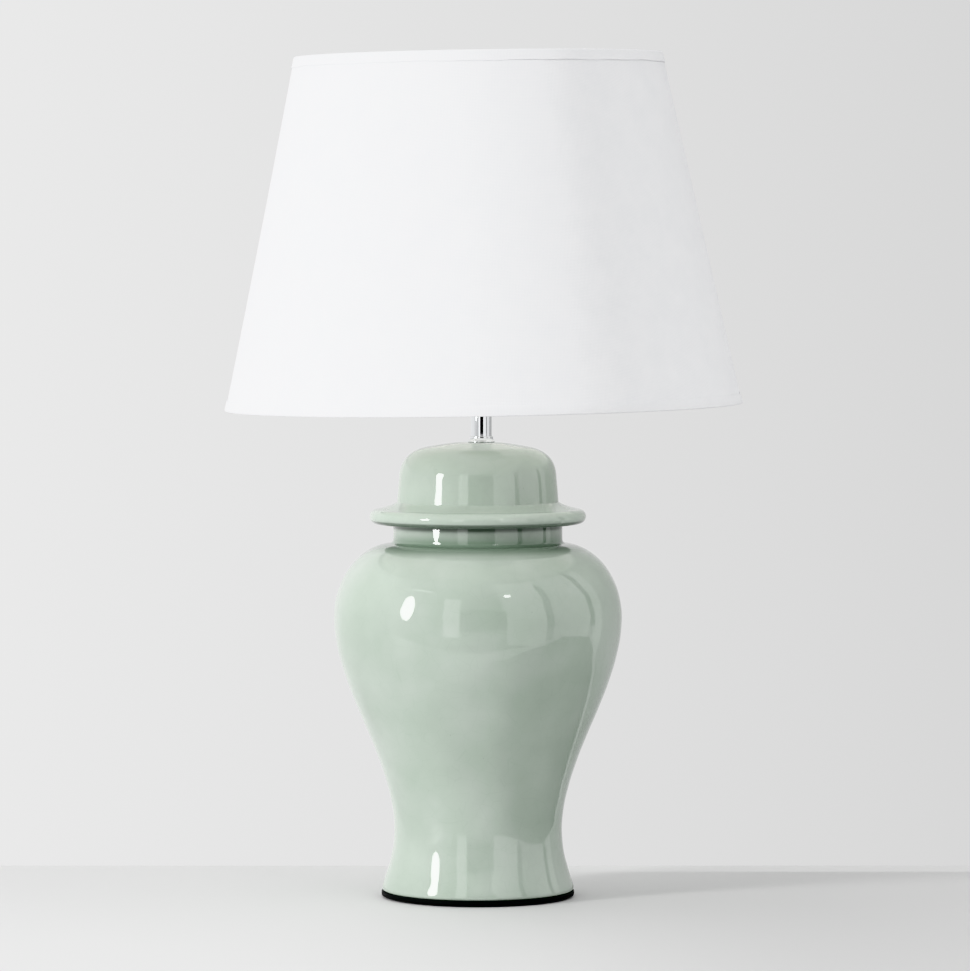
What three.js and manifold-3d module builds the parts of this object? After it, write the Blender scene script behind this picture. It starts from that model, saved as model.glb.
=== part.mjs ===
// A ceramic temple-jar table lamp: a glazed jar and lid held on a threaded rod, a chrome neck
// tube, a threaded lampholder with its bulb, and a tapered fabric shade on a three-arm spider.
// Millimetres, +Z up. The origin is the centre of the felt pad's underside, on the table.
import * as THREE from "three";
import { mergeVertices } from "three/addons/utils/BufferGeometryUtils.js";
import Module from "manifold-3d";

const wasm = await Module();
wasm.setup();

// ---- Facets and clearances ----
const JAR_FACETS = 40;
const SHADE_FACETS = 48;
const SMALL_FACETS = 20;
const WIRE_SIDES = 6;
const GAP = 0.3; // between pieces that touch, or are cut to each other
const CONTACT = 0.05; // between pieces stacked face to face

// ---- Foot: felt pad, base disc and cord inlet ----
const FELT_INSET = 2.6; // of the felt from the base disc's edge
const FELT_THICKNESS = 1.2;
const BASE_PROUD = 0.6; // of the base disc beyond the foot
const BASE_THICKNESS = 3.6;
const BASE_SPIGOT_HEIGHT = 4;
const INLET_LIFT = 1; // of the cord inlet's body above the base disc's spigot
const INLET_BORE_RADIUS = 3.6;
const INLET_WALL = 1.6;
const INLET_FLANGE_WIDTH = 2.3;
const INLET_FLANGE_THICKNESS = 1.6;

// ---- Jar ----
const FOOT_RADIUS = 74;
const FOOT_EDGE = 2.4; // rounding of the foot's lower edge
const WAIST_RADIUS = 65;
const BELLY_RADIUS = 111.3;
const NECK_RADIUS = 65.3;
const WAIST_RISE = 47.6; // each rise is measured from the level below it
const BELLY_RISE = 164;
const SHOULDER_RISE = 57.5;
const NECK_RISE = 15;
const NECK_FILLET = 4;
const JAR_WALL = 7;
const FOOT_WALL = 14; // at the foot's lower edge
const RECESS_WALL = 5; // round the top of the foot's recess
const FOOT_RECESS_DEPTH = 22;
const JAR_FLOOR = 8;

// ---- Lid ----
const FLANGE_RADIUS = 83.5;
const FLANGE_THICKNESS = 11.4; // at its rounded rim
const FLANGE_ROUND = 6;
const FLANGE_RISE = 15; // of its top where it meets the dome
const DOME_RADIUS = 62.4;
const DOME_TAPER = 1.5;
const DOME_WALL_RISE = 35.5;
const DOME_CORNER_RADIUS = 40; // where the corner runs into the crown
const DOME_CORNER_DROP = 3.6;
const DOME_RISE = 63;
const LID_WALL = 6;
const LID_SPIGOT_DEPTH = 10;
const LID_SPIGOT_CLEARANCE = 1;

// ---- Rod and its clamping parts ----
const ROD_RADIUS = 5;
const ROD_WALL = 1.2;
const ROD_CLEARANCE = 0.6;
const ROD_TAIL = 3; // below the nut
const ROD_OFFSET = 2.6; // of the rod and all it carries, to the right of the jar's axis
const CUSHION_RADIUS = 16;
const CUSHION_THICKNESS = 2;
const WASHER_RADIUS = 14;
const WASHER_THICKNESS = 1.5;
const NUT_ACROSS_FLATS = 17;
const NUT_THICKNESS = 5;

// ---- Neck tube and its collar ----
const TUBE_RADIUS = 8;
const TUBE_WALL = 1.2;
const TUBE_LENGTH = 33;
const COLLAR_LIP = 0.7; // of the collar's top, round the tube
const COLLAR_FLARE = 1.4;
const COLLAR_HEIGHT = 4.6;
const COLLAR_FLOOR = 1.4;

// ---- Lampholder ----
const CAP_ENTRY_PROUD = 0.6; // of the cap's entry beyond the tube
const CAP_ENTRY_HEIGHT = 8;
const CAP_PROUD = 0.65; // of the cap beyond the body's thread
const CAP_SHOULDER_RISE = 6;
const CAP_HEIGHT = 25; // overall
const CAP_WALL = 2.6;
const HOLDER_FLANGE_WIDTH = 6.25;
const HOLDER_FLANGE_THICKNESS = 3;
const HOLDER_THREAD_LENGTH = 35;
const HOLDER_WALL = 2.55;
const HOLDER_LIP_WIDTH = 2.6;
const HOLDER_LIP_THICKNESS = 2;
const INSULATOR_WALL = 2.4;
const INSULATOR_FLOOR = 8;
const INSULATOR_HEIGHT = 29;
const SHELL_PLAY = 0.4; // round the bulb's cap
const SHELL_WALL = 0.4;
const SHELL_HEIGHT = 21;
const TERMINAL_OFFSET = 9;
const TERMINAL_HEAD_RADIUS = 3.2;
const TERMINAL_HEAD_HEIGHT = 2.2;
const TERMINAL_SHANK_RADIUS = 1.6;
const TERMINAL_SHANK_LENGTH = 6;
const LOCK_SCREW_RADIUS = 1.5;
const LOCK_SCREW_LENGTH = 3.4;
const CONTACT_STRIP_WIDTH = 6;
const CONTACT_STRIP_THICKNESS = 0.5;
const CONTACT_STRIP_RISE = 3.2;

// ---- Push bar of the switch ----
const SWITCH_TRAVEL = 6;
const SWITCH_WIDTH = 5;
const SWITCH_HEIGHT = 4;
const SWITCH_SHOW = 3; // of the pushed-in end, past the cap's side
const SWITCH_RISE = 15; // of its underside, above the cap's bottom
const SWITCH_CLEARANCE = 0.4;

// ---- Shade ring, slip washer and the spider's fitter ring ----
const FITTER_PLAY = 1.65; // round the holder's thread
const FITTER_WIDTH = 6.6;
const FITTER_THICKNESS = 2;
const SLIP_THICKNESS = 1;
const RING_WALL = 5.9;
const RING_HEIGHT = 8;
const RING_CLEARANCE = 0.35;
const RING_RIBS = 20;
const RING_RIB_DEPTH = 0.8;

// ---- Shade ----
const SHADE_BOTTOM_RADIUS = 200;
const SHADE_TOP_RADIUS = 142.3;
const SHADE_HEIGHT = 271;
const FITTER_RECESS = 35; // of the fitter above the shade's bottom rim
const LEAN_LEFT = THREE.MathUtils.degToRad(0.9); // the shade sits a little off level
const LEAN_FORWARD = THREE.MathUtils.degToRad(0.45);
const SHADE_SHIFT = 1.4; // sideways, within the fitter's play on the holder
const COVER_THICKNESS = 0.8;
const LINER_THICKNESS = 0.9;
const HEM_THICKNESS = 0.6;
const HEM_HEIGHT = 8;
const WIRE_RADIUS = 1.6;
const ARM_COUNT = 3;
const ARM_STEPS = 10;

// ---- Bulb ----
const BULB_CAP_RADIUS = 13.1;
const BULB_CAP_WALL = 0.5;
const BULB_CAP_HEIGHT = 23;
const BULB_TIP_RADIUS = 3.4;
const BULB_TIP_HEIGHT = 1.5;
const BULB_INSULATOR_RADIUS = 9;
const BULB_INSULATOR_HEIGHT = 3.2;
const BULB_RADIUS = 30;
const BULB_LENGTH = 109;
const BULB_PLUG_DEPTH = 5;
const DIFFUSER_WALL = 1.5;
const LED_BOARD_THICKNESS = 1.6;

// ---- Radii that follow from what they fit ----
const baseRadius = FOOT_RADIUS + BASE_PROUD;
const recessRadius = Math.min(FOOT_RADIUS - FOOT_WALL, WAIST_RADIUS - RECESS_WALL);
const inletRadius = INLET_BORE_RADIUS + INLET_WALL;
const inletFlangeRadius = inletRadius + INLET_FLANGE_WIDTH;
const neckBore = NECK_RADIUS - JAR_WALL;
const rodHole = ROD_RADIUS + GAP;
const collarTopRadius = TUBE_RADIUS + GAP + COLLAR_LIP;
const collarRadius = collarTopRadius + COLLAR_FLARE;
const shellRadius = BULB_CAP_RADIUS + SHELL_PLAY + SHELL_WALL;
const insulatorRadius = shellRadius + GAP + INSULATOR_WALL;
const holderBore = insulatorRadius + 2 * GAP;
const threadRadius = holderBore + HOLDER_WALL; // carries the shade ring, 39.5 mm across
const holderFlangeRadius = threadRadius + HOLDER_FLANGE_WIDTH;
const capRadius = threadRadius + CAP_PROUD;
const capEntryRadius = TUBE_RADIUS + CAP_ENTRY_PROUD;
const ringBore = threadRadius + RING_CLEARANCE;
const ringRadius = ringBore + RING_WALL;
const fitterBore = threadRadius + FITTER_PLAY;
const fitterRadius = fitterBore + FITTER_WIDTH;

// ---- Levels, from the table up ----
const footLevel = FELT_THICKNESS + BASE_THICKNESS;
const inletLevel = footLevel + BASE_SPIGOT_HEIGHT + INLET_LIFT + inletRadius;
const waistLevel = footLevel + WAIST_RISE;
const bellyLevel = waistLevel + BELLY_RISE;
const neckLevel = bellyLevel + SHOULDER_RISE;
const lidLevel = neckLevel + NECK_RISE;
const crownLevel = lidLevel + DOME_RISE;
const recessCeiling = footLevel + FOOT_RECESS_DEPTH;
const tubeLevel = crownLevel + COLLAR_FLOOR;
const holderLevel = tubeLevel + TUBE_LENGTH;
const flangeLevel = holderLevel + CAP_HEIGHT;
const fitterLevel = flangeLevel + HOLDER_FLANGE_THICKNESS;
const slipLevel = fitterLevel + FITTER_THICKNESS + 2 * CONTACT;
const ringLevel = slipLevel + SLIP_THICKNESS + CONTACT;
const insulatorLevel = flangeLevel - 3.5;
const socketFloor = insulatorLevel + INSULATOR_FLOOR;
const bulbLevel = socketFloor + CONTACT_STRIP_RISE + CONTACT_STRIP_THICKNESS;

// ---- Helpers ----

// An outline in the radius-height plane, drawn stretch by stretch.
class Outline {
  constructor(radius, height) {
    this.points = [new THREE.Vector2(radius, height)];
  }

  line(...corners) {
    for (const [radius, height] of corners) this.points.push(new THREE.Vector2(radius, height));
    return this;
  }

  curve(curve, steps) {
    this.points.push(...curve.getPoints(steps).slice(1));
    return this;
  }

  // A rounded corner or a swept stretch: one control point, then the end point.
  bend(control, end, steps) {
    const start = this.points.at(-1);
    const curve = new THREE.QuadraticBezierCurve(
      start,
      new THREE.Vector2(...control),
      new THREE.Vector2(...end),
    );
    return this.curve(curve, steps);
  }

  // A stretch that leaves along one control point and arrives along another.
  sweep(first, second, end, steps) {
    const start = this.points.at(-1);
    const curve = new THREE.CubicBezierCurve(
      start,
      new THREE.Vector2(...first),
      new THREE.Vector2(...second),
      new THREE.Vector2(...end),
    );
    return this.curve(curve, steps);
  }

  close() {
    this.points.push(this.points[0].clone());
    return this.points;
  }
}

// A turned piece: the outline runs anticlockwise round the material, seen with the axis at left.
function turned(points, facets = SMALL_FACETS) {
  return new THREE.LatheGeometry(points, facets).rotateX(Math.PI / 2);
}

// A flat or tall ring from an inner to an outer radius.
function ring(inner, outer, low, high, facets = SMALL_FACETS) {
  const outline = new Outline(inner, low).line([outer, low], [outer, high], [inner, high]);
  return turned(outline.close(), facets);
}

// A solid disc or pin standing on a height.
function disc(radius, low, high, facets = SMALL_FACETS) {
  const points = [[0, low], [radius, low], [radius, high], [0, high]];
  return turned(points.map(([r, z]) => new THREE.Vector2(r, z)), facets);
}

// A flat shape in the X-Z plane, given its thickness along Y and centred on it.
function plate(shape, thickness) {
  return new THREE.ExtrudeGeometry(shape, { depth: thickness, bevelEnabled: false, curveSegments: 4 })
    .translate(0, 0, -thickness / 2)
    .rotateX(Math.PI / 2);
}

function solidOf(geometry) {
  const bare = geometry.clone();
  bare.deleteAttribute("normal");
  bare.deleteAttribute("uv");
  const merged = mergeVertices(bare, 1e-4);
  return new wasm.Manifold(
    new wasm.Mesh({
      numProp: 3,
      vertProperties: new Float32Array(merged.attributes.position.array),
      triVerts: new Uint32Array(merged.index.array),
    }),
  );
}

function geometryOf(solid) {
  const mesh = solid.getMesh();
  const geometry = new THREE.BufferGeometry();
  geometry.setAttribute("position", new THREE.BufferAttribute(mesh.vertProperties, 3));
  geometry.setIndex(new THREE.BufferAttribute(mesh.triVerts, 1));
  geometry.computeVertexNormals();
  return geometry;
}

function cut(body, ...tools) {
  const left = tools.reduce((solid, tool) => solid.subtract(solidOf(tool)), solidOf(body));
  return geometryOf(left);
}

function piece(group, name, geometry, finish) {
  const mesh = new THREE.Mesh(geometry, new THREE.MeshStandardMaterial(finish));
  mesh.name = name;
  group.add(mesh);
  return mesh;
}

// ---- Finishes ----
const GLAZE = { color: 0xb7c8b8, roughness: 0.08, metalness: 0 };
const BLACK_LACQUER = { color: 0x0c0e0d, roughness: 0.6, metalness: 0 };
const BLACK_FELT = { color: 0x161616, roughness: 1, metalness: 0 };
const BLACK_RUBBER = { color: 0x1b1b1b, roughness: 0.8, metalness: 0 };
const ZINC = { color: 0xb9bcc0, roughness: 0.4, metalness: 1 };
const CHROME = { color: 0xe6e8ea, roughness: 0.05, metalness: 1 };
const NICKEL = { color: 0xc9c6bc, roughness: 0.25, metalness: 1 };
const BRASS = { color: 0xc8a95a, roughness: 0.3, metalness: 1 };
const WHITE_PLASTIC = { color: 0xf1f0ec, roughness: 0.4, metalness: 0 };
const PORCELAIN = { color: 0xe9e6dd, roughness: 0.3, metalness: 0 };
const WHITE_FABRIC = { color: 0xf4f5f5, roughness: 0.95, metalness: 0 };
const WHITE_STYRENE = { color: 0xf7f6f2, roughness: 0.5, metalness: 0 };
const WHITE_ENAMEL = { color: 0xefefec, roughness: 0.35, metalness: 0 };
const OPAL = { color: 0xfafaf6, roughness: 0.4, metalness: 0 };
const BLACK_GLASS = { color: 0x111111, roughness: 0.2, metalness: 0 };
const SOLDER = { color: 0xa9a9a6, roughness: 0.4, metalness: 1 };

// ---- Foot pieces ----

function feltPad() {
  return disc(baseRadius - FELT_INSET, 0, FELT_THICKNESS, JAR_FACETS);
}

// A disc with a low spigot that centres it in the foot's recess.
function baseDisc() {
  const low = FELT_THICKNESS + CONTACT;
  const high = footLevel - CONTACT;
  const spigot = recessRadius - GAP * 2;
  const points = [
    [0, low],
    [baseRadius, low],
    [baseRadius, high],
    [spigot, high],
    [spigot, high + BASE_SPIGOT_HEIGHT],
    [0, high + BASE_SPIGOT_HEIGHT],
  ];
  return turned(points.map(([r, z]) => new THREE.Vector2(r, z)), JAR_FACETS);
}

// The foot flares out below the waist; this is its radius at a height above the foot.
function footFlare() {
  const start = footLevel + FOOT_EDGE;
  const rise = waistLevel - start;
  return {
    first: [FOOT_RADIUS - 0.19 * (FOOT_RADIUS - WAIST_RADIUS), start + 0.23 * rise],
    second: [WAIST_RADIUS, waistLevel - 0.535 * rise],
    end: [WAIST_RADIUS, waistLevel],
  };
}

// The jar's outer radius at the cord inlet, found on the flare itself.
function radiusAtInlet() {
  const flare = footFlare();
  const curve = new THREE.CubicBezierCurve(
    new THREE.Vector2(FOOT_RADIUS, footLevel + FOOT_EDGE),
    new THREE.Vector2(...flare.first),
    new THREE.Vector2(...flare.second),
    new THREE.Vector2(...flare.end),
  );
  const near = curve.getPoints(100).filter((p) => Math.abs(p.y - inletLevel) < inletFlangeRadius);
  return Math.max(...near.map((p) => p.x));
}

// A rubber bush through the back of the foot, with a flange outside.
function cordInlet() {
  const outside = radiusAtInlet() + GAP;
  const inside = recessRadius - 1;
  const outline = new Outline(INLET_BORE_RADIUS, inside).line(
    [inletRadius, inside],
    [inletRadius, outside],
    [inletFlangeRadius, outside],
    [inletFlangeRadius - 1, outside + INLET_FLANGE_THICKNESS],
    [INLET_BORE_RADIUS, outside + INLET_FLANGE_THICKNESS],
  );
  return turned(outline.close()).rotateX(-Math.PI / 2).translate(0, 0, inletLevel);
}

// ---- Jar and lid ----

// The drill that makes way for the rod through the jar's floor and the lid's crown.
function rodDrill() {
  return disc(ROD_RADIUS + ROD_CLEARANCE, 0, crownLevel + 1).translate(ROD_OFFSET, 0, 0);
}

// The jar is thrown in four sections: the foot with its floor and the recess under it, up to
// the waist; the body, up to the belly; the shoulder; and the neck, joined on at its throat.
function jarFoot() {
  const flare = footFlare();
  const floor = recessCeiling + JAR_FLOOR;
  const inside = WAIST_RADIUS - JAR_WALL;
  const outline = new Outline(0, recessCeiling)
    .line([recessRadius, recessCeiling])
    .line([recessRadius, footLevel])
    .line([FOOT_RADIUS - FOOT_EDGE, footLevel])
    .bend([FOOT_RADIUS, footLevel], [FOOT_RADIUS, footLevel + FOOT_EDGE], 3)
    .sweep(flare.first, flare.second, flare.end, 6)
    .line([inside, waistLevel])
    .line([inside, floor])
    .line([0, floor]);
  const inletHole = disc(inletRadius + GAP, 0, FOOT_RADIUS + 5)
    .rotateX(-Math.PI / 2)
    .translate(0, recessRadius - 10, inletLevel);
  return cut(turned(outline.points, JAR_FACETS), inletHole, rodDrill());
}

function jarBody() {
  const pull = BELLY_RISE / 3;
  const low = waistLevel + CONTACT;
  const high = bellyLevel - CONTACT;
  const narrow = WAIST_RADIUS - JAR_WALL;
  const wide = BELLY_RADIUS - JAR_WALL;
  const outline = new Outline(WAIST_RADIUS, low)
    .sweep([WAIST_RADIUS, low + pull], [BELLY_RADIUS, high - pull], [BELLY_RADIUS, high], 8)
    .line([wide, high])
    .sweep([wide, high - pull], [narrow, low + pull], [narrow, low], 6);
  return turned(outline.close(), JAR_FACETS);
}

// The shoulder's outside, an ellipse from the belly up to the neck, between two of its angles.
function shoulderArc(start, end) {
  return new THREE.EllipseCurve(
    NECK_RADIUS, bellyLevel, BELLY_RADIUS - NECK_RADIUS, SHOULDER_RISE, start, end,
  );
}

const throatLevel = neckLevel - JAR_WALL / 2;
const throatAngle = Math.asin((throatLevel - bellyLevel) / SHOULDER_RISE);

function jarShoulder() {
  const wide = BELLY_RADIUS - JAR_WALL;
  const inner = new THREE.EllipseCurve(
    neckBore, bellyLevel, wide - neckBore, SHOULDER_RISE - JAR_WALL, Math.PI / 2, 0, true,
  );
  const outline = new Outline(BELLY_RADIUS, bellyLevel)
    .curve(shoulderArc(0, throatAngle), 6)
    .line([neckBore, throatLevel])
    .line([neckBore, neckLevel - JAR_WALL])
    .curve(inner, 6);
  return turned(outline.close(), JAR_FACETS);
}

function jarNeck() {
  const base = throatLevel + CONTACT;
  const end = Math.acos(NECK_FILLET / (BELLY_RADIUS - NECK_RADIUS));
  const filletLevel = bellyLevel + SHOULDER_RISE * Math.sin(end);
  const arc = shoulderArc(throatAngle, end);
  const outline = new Outline(neckBore, base)
    .line([arc.getPoint(0).x, base])
    .curve(arc, 4)
    .bend([NECK_RADIUS, filletLevel], [NECK_RADIUS, filletLevel + NECK_FILLET], 2)
    .line([NECK_RADIUS, lidLevel])
    .line([neckBore, lidLevel]);
  return turned(outline.close(), JAR_FACETS);
}

// A domed lid with a wide rounded flange, and a spigot that drops into the jar's neck.
function lid() {
  const spigot = neckBore - LID_SPIGOT_CLEARANCE;
  const base = lidLevel + CONTACT;
  const rim = FLANGE_RADIUS - FLANGE_ROUND;
  const wallTop = lidLevel + DOME_WALL_RISE;
  const top = DOME_RADIUS - DOME_TAPER;
  const cornerLevel = crownLevel - DOME_CORNER_DROP;
  const inside = DOME_RADIUS - LID_WALL - 2;
  const insideTop = inside - DOME_TAPER;
  const seat = ROD_OFFSET + collarRadius + 0.6;
  const edge = new THREE.EllipseCurve(
    rim, base + FLANGE_THICKNESS / 2, FLANGE_ROUND, FLANGE_THICKNESS / 2, -Math.PI / 2, Math.PI / 2,
  );
  const outline = new Outline(0, crownLevel - LID_WALL)
    .bend([insideTop / 2, crownLevel - LID_WALL], [DOME_CORNER_RADIUS - 5, cornerLevel - LID_WALL], 3)
    .bend([insideTop, cornerLevel - LID_WALL], [insideTop, wallTop - LID_WALL], 3)
    .line([inside - 2, base - LID_SPIGOT_DEPTH])
    .line([spigot, base - LID_SPIGOT_DEPTH])
    .line([spigot, base])
    .line([rim, base])
    .curve(edge, 6)
    .bend([DOME_RADIUS + 3, lidLevel + FLANGE_RISE - 0.6], [DOME_RADIUS, lidLevel + FLANGE_RISE + 2], 3)
    .line([top, wallTop])
    .bend([top - 0.6, cornerLevel - 4.2], [DOME_CORNER_RADIUS, cornerLevel], 6)
    .bend([DOME_CORNER_RADIUS / 2, crownLevel], [seat, crownLevel], 3)
    .line([0, crownLevel]);
  return cut(turned(outline.points, JAR_FACETS), rodDrill());
}

// ---- Rod and clamping parts ----

function hexNut() {
  const corner = NUT_ACROSS_FLATS / 2 / Math.cos(Math.PI / 6);
  const top = recessCeiling - CUSHION_THICKNESS - WASHER_THICKNESS - 3 * CONTACT;
  const outside = disc(corner, top - NUT_THICKNESS, top, 6);
  return cut(outside, disc(rodHole, top - NUT_THICKNESS - 1, top + 1));
}

function threadedRod() {
  const low = recessCeiling - CUSHION_THICKNESS - WASHER_THICKNESS - NUT_THICKNESS - ROD_TAIL;
  return ring(ROD_RADIUS - ROD_WALL, ROD_RADIUS, low, holderLevel + CAP_ENTRY_HEIGHT);
}

// ---- Neck ----

// A bell-mouthed collar; the tube drops into it.
function collar() {
  const low = crownLevel + CONTACT;
  const top = low + COLLAR_HEIGHT;
  const socket = TUBE_RADIUS + GAP;
  const outline = new Outline(rodHole, low)
    .line([collarRadius, low])
    .line([collarRadius, low + 0.8])
    .bend([collarTopRadius, low + 1.4], [collarTopRadius, top], 4)
    .line([socket, top])
    .line([socket, low + COLLAR_FLOOR - CONTACT])
    .line([rodHole, low + COLLAR_FLOOR - CONTACT]);
  return turned(outline.close());
}

function neckTube() {
  return ring(TUBE_RADIUS - TUBE_WALL, TUBE_RADIUS, tubeLevel + CONTACT, holderLevel - CONTACT);
}

// ---- Lampholder ----

function switchSlot() {
  const width = SWITCH_WIDTH + 2 * SWITCH_CLEARANCE;
  const height = SWITCH_HEIGHT + 2 * SWITCH_CLEARANCE;
  const middle = holderLevel + SWITCH_RISE + SWITCH_HEIGHT / 2;
  return new THREE.BoxGeometry(capRadius * 3, width, height).translate(0, 0, middle);
}

// The cap that screws on the rod, slotted across for the switch's push bar.
function holderCap() {
  const inside = capRadius - CAP_WALL;
  const low = holderLevel;
  const high = flangeLevel - CONTACT;
  const inner = low + CAP_ENTRY_HEIGHT + 1;
  const outline = new Outline(rodHole, low)
    .line([capEntryRadius, low])
    .line([capEntryRadius, low + CAP_ENTRY_HEIGHT - 1.4])
    .bend(
      [capRadius, low + CAP_ENTRY_HEIGHT - 1.4],
      [capRadius, low + CAP_ENTRY_HEIGHT + CAP_SHOULDER_RISE],
      4,
    )
    .line([capRadius, high])
    .line([inside, high])
    .line([inside, inner + 4])
    .line([inside - 4, inner])
    .line([rodHole, inner]);
  const screwHole = disc(LOCK_SCREW_RADIUS + GAP, 0, capEntryRadius + 2)
    .rotateX(-Math.PI / 2)
    .translate(0, 0, low + CAP_ENTRY_HEIGHT / 2);
  return cut(turned(outline.close()), switchSlot(), screwHole);
}

function lockScrew() {
  return disc(LOCK_SCREW_RADIUS, rodHole, rodHole + LOCK_SCREW_LENGTH, 12)
    .rotateX(-Math.PI / 2)
    .translate(0, 0, holderLevel + CAP_ENTRY_HEIGHT / 2);
}

// The outer body: a seat for the shade, a long thread above it and an inturned lip.
function holderBody() {
  const top = fitterLevel + HOLDER_THREAD_LENGTH;
  const lip = holderBore - HOLDER_LIP_WIDTH;
  const outline = new Outline(holderBore, flangeLevel)
    .line([holderFlangeRadius, flangeLevel])
    .line([holderFlangeRadius, fitterLevel])
    .line([threadRadius, fitterLevel])
    .line([threadRadius, top - 1])
    .line([threadRadius - 1, top])
    .line([lip, top])
    .line([lip, top - HOLDER_LIP_THICKNESS])
    .line([holderBore, top - HOLDER_LIP_THICKNESS]);
  return turned(outline.close(), SMALL_FACETS + 4);
}

function terminalShank(side, radius, extra) {
  return disc(radius, insulatorLevel - CONTACT, insulatorLevel + TERMINAL_SHANK_LENGTH + extra, 12)
    .translate(0, side * TERMINAL_OFFSET, 0);
}

// A porcelain cup under the screw shell, drilled for the two terminal screws.
function insulator() {
  const bore = shellRadius + GAP;
  const top = insulatorLevel + INSULATOR_HEIGHT;
  const points = [
    [0, insulatorLevel],
    [insulatorRadius, insulatorLevel],
    [insulatorRadius, top],
    [bore, top],
    [bore, socketFloor],
    [0, socketFloor],
  ];
  const cup = turned(points.map(([r, z]) => new THREE.Vector2(r, z)));
  const holes = [-1, 1].map((side) =>
    terminalShank(side, TERMINAL_SHANK_RADIUS + GAP, GAP).translate(0, 0, -CONTACT));
  return cut(cup, ...holes);
}

function terminalScrew(side) {
  const headTop = insulatorLevel - CONTACT;
  const points = [
    [0, headTop - TERMINAL_HEAD_HEIGHT],
    [TERMINAL_HEAD_RADIUS, headTop - TERMINAL_HEAD_HEIGHT],
    [TERMINAL_HEAD_RADIUS, headTop],
    [TERMINAL_SHANK_RADIUS, headTop],
    [TERMINAL_SHANK_RADIUS, insulatorLevel + TERMINAL_SHANK_LENGTH],
    [0, insulatorLevel + TERMINAL_SHANK_LENGTH],
  ];
  return turned(points.map(([r, z]) => new THREE.Vector2(r, z)), 12)
    .translate(0, side * TERMINAL_OFFSET, 0);
}

function screwShell() {
  const low = socketFloor + 2;
  return ring(shellRadius - SHELL_WALL, shellRadius, low, low + SHELL_HEIGHT);
}

// A springy tongue on the socket's floor, bent up under the bulb's tip.
function centreContact() {
  const low = socketFloor + CONTACT;
  const top = socketFloor + CONTACT_STRIP_RISE;
  const reach = shellRadius - 5;
  const t = CONTACT_STRIP_THICKNESS;
  const shape = new THREE.Shape();
  shape.moveTo(-reach, low);
  shape.lineTo(-4, low);
  shape.lineTo(-1, top - t);
  shape.lineTo(3, top - t);
  shape.lineTo(3, top);
  shape.lineTo(-1.4, top);
  shape.lineTo(-4.4, low + t);
  shape.lineTo(-reach, low + t);
  return plate(shape, CONTACT_STRIP_WIDTH);
}

// A bar pushed through the cap from side to side, with rounded ends.
function switchBar() {
  const left = -capRadius - SWITCH_SHOW - SWITCH_TRAVEL;
  const right = capRadius + SWITCH_SHOW;
  const low = holderLevel + SWITCH_RISE;
  const high = low + SWITCH_HEIGHT;
  const round = SWITCH_HEIGHT / 2;
  const shape = new THREE.Shape();
  shape.moveTo(left + round, low);
  shape.lineTo(right - round, low);
  shape.absarc(right - round, low + round, round, -Math.PI / 2, Math.PI / 2);
  shape.lineTo(left + round, high);
  shape.absarc(left + round, low + round, round, Math.PI / 2, Math.PI * 1.5);
  return plate(shape, SWITCH_WIDTH);
}

// ---- Shade ring and slip washer ----

function slipWasher() {
  return ring(ringBore, ringRadius - 1, slipLevel, slipLevel + SLIP_THICKNESS, SMALL_FACETS + 4);
}

// A knurled plastic ring that runs on the holder's thread.
function shadeRing() {
  const shape = new THREE.Shape();
  for (let i = 0; i < 2 * RING_RIBS; i++) {
    const radius = ringRadius - (i % 2) * RING_RIB_DEPTH;
    const turn = (Math.PI * i) / RING_RIBS;
    const point = [radius * Math.cos(turn), radius * Math.sin(turn)];
    if (i === 0) shape.moveTo(...point);
    else shape.lineTo(...point);
  }
  const blank = new THREE.ExtrudeGeometry(shape, { depth: RING_HEIGHT, bevelEnabled: false })
    .translate(0, 0, ringLevel);
  const bore = disc(ringBore, ringLevel - 1, ringLevel + RING_HEIGHT + 1, SMALL_FACETS + 4);
  return cut(blank, bore);
}

// ---- Shade: its own heights start at the fitter ----

const rimLow = -FITTER_RECESS;
const rimHigh = rimLow + SHADE_HEIGHT;
const coverInset = HEM_THICKNESS + GAP;
const linerInset = coverInset + COVER_THICKNESS + GAP;
const wireInset = linerInset + LINER_THICKNESS + GAP + WIRE_RADIUS;
const hemInset = wireInset + WIRE_RADIUS + GAP;
const wireLift = HEM_THICKNESS + GAP + WIRE_RADIUS;

// The shade's outer radius at a height above the fitter.
function shadeRadius(height) {
  const share = (height - rimLow) / SHADE_HEIGHT;
  return SHADE_BOTTOM_RADIUS + share * (SHADE_TOP_RADIUS - SHADE_BOTTOM_RADIUS);
}

// A conical sheet set in from the shade's outside.
function sheet(inset, thickness) {
  const low = rimLow + HEM_THICKNESS + GAP;
  const high = rimHigh - HEM_THICKNESS - GAP;
  const lowRadius = shadeRadius(low) - inset;
  const highRadius = shadeRadius(high) - inset;
  const outline = new Outline(lowRadius - thickness, low)
    .line([lowRadius, low], [highRadius, high], [highRadius - thickness, high]);
  return turned(outline.close(), SHADE_FACETS);
}

function wireRing(height) {
  const radius = shadeRadius(height) - wireInset;
  return new THREE.TorusGeometry(radius, WIRE_RADIUS, WIRE_SIDES, SHADE_FACETS).translate(0, 0, height);
}

// A tape folded round the rim, over the cover, the liner and the wire ring.
function hem(rim, inward) {
  const end = rim + inward * HEM_HEIGHT;
  const bend = rim + inward * HEM_THICKNESS;
  const outline = new Outline(shadeRadius(rim) - hemInset - HEM_THICKNESS, rim).line(
    [shadeRadius(rim), rim],
    [shadeRadius(end), end],
    [shadeRadius(end) - HEM_THICKNESS, end],
    [shadeRadius(bend) - HEM_THICKNESS, bend],
    [shadeRadius(bend) - hemInset, bend],
    [shadeRadius(end) - hemInset, end],
    [shadeRadius(end) - hemInset - HEM_THICKNESS, end],
  );
  const points = outline.close();
  return turned(inward > 0 ? points : points.reverse(), SHADE_FACETS);
}

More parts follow.
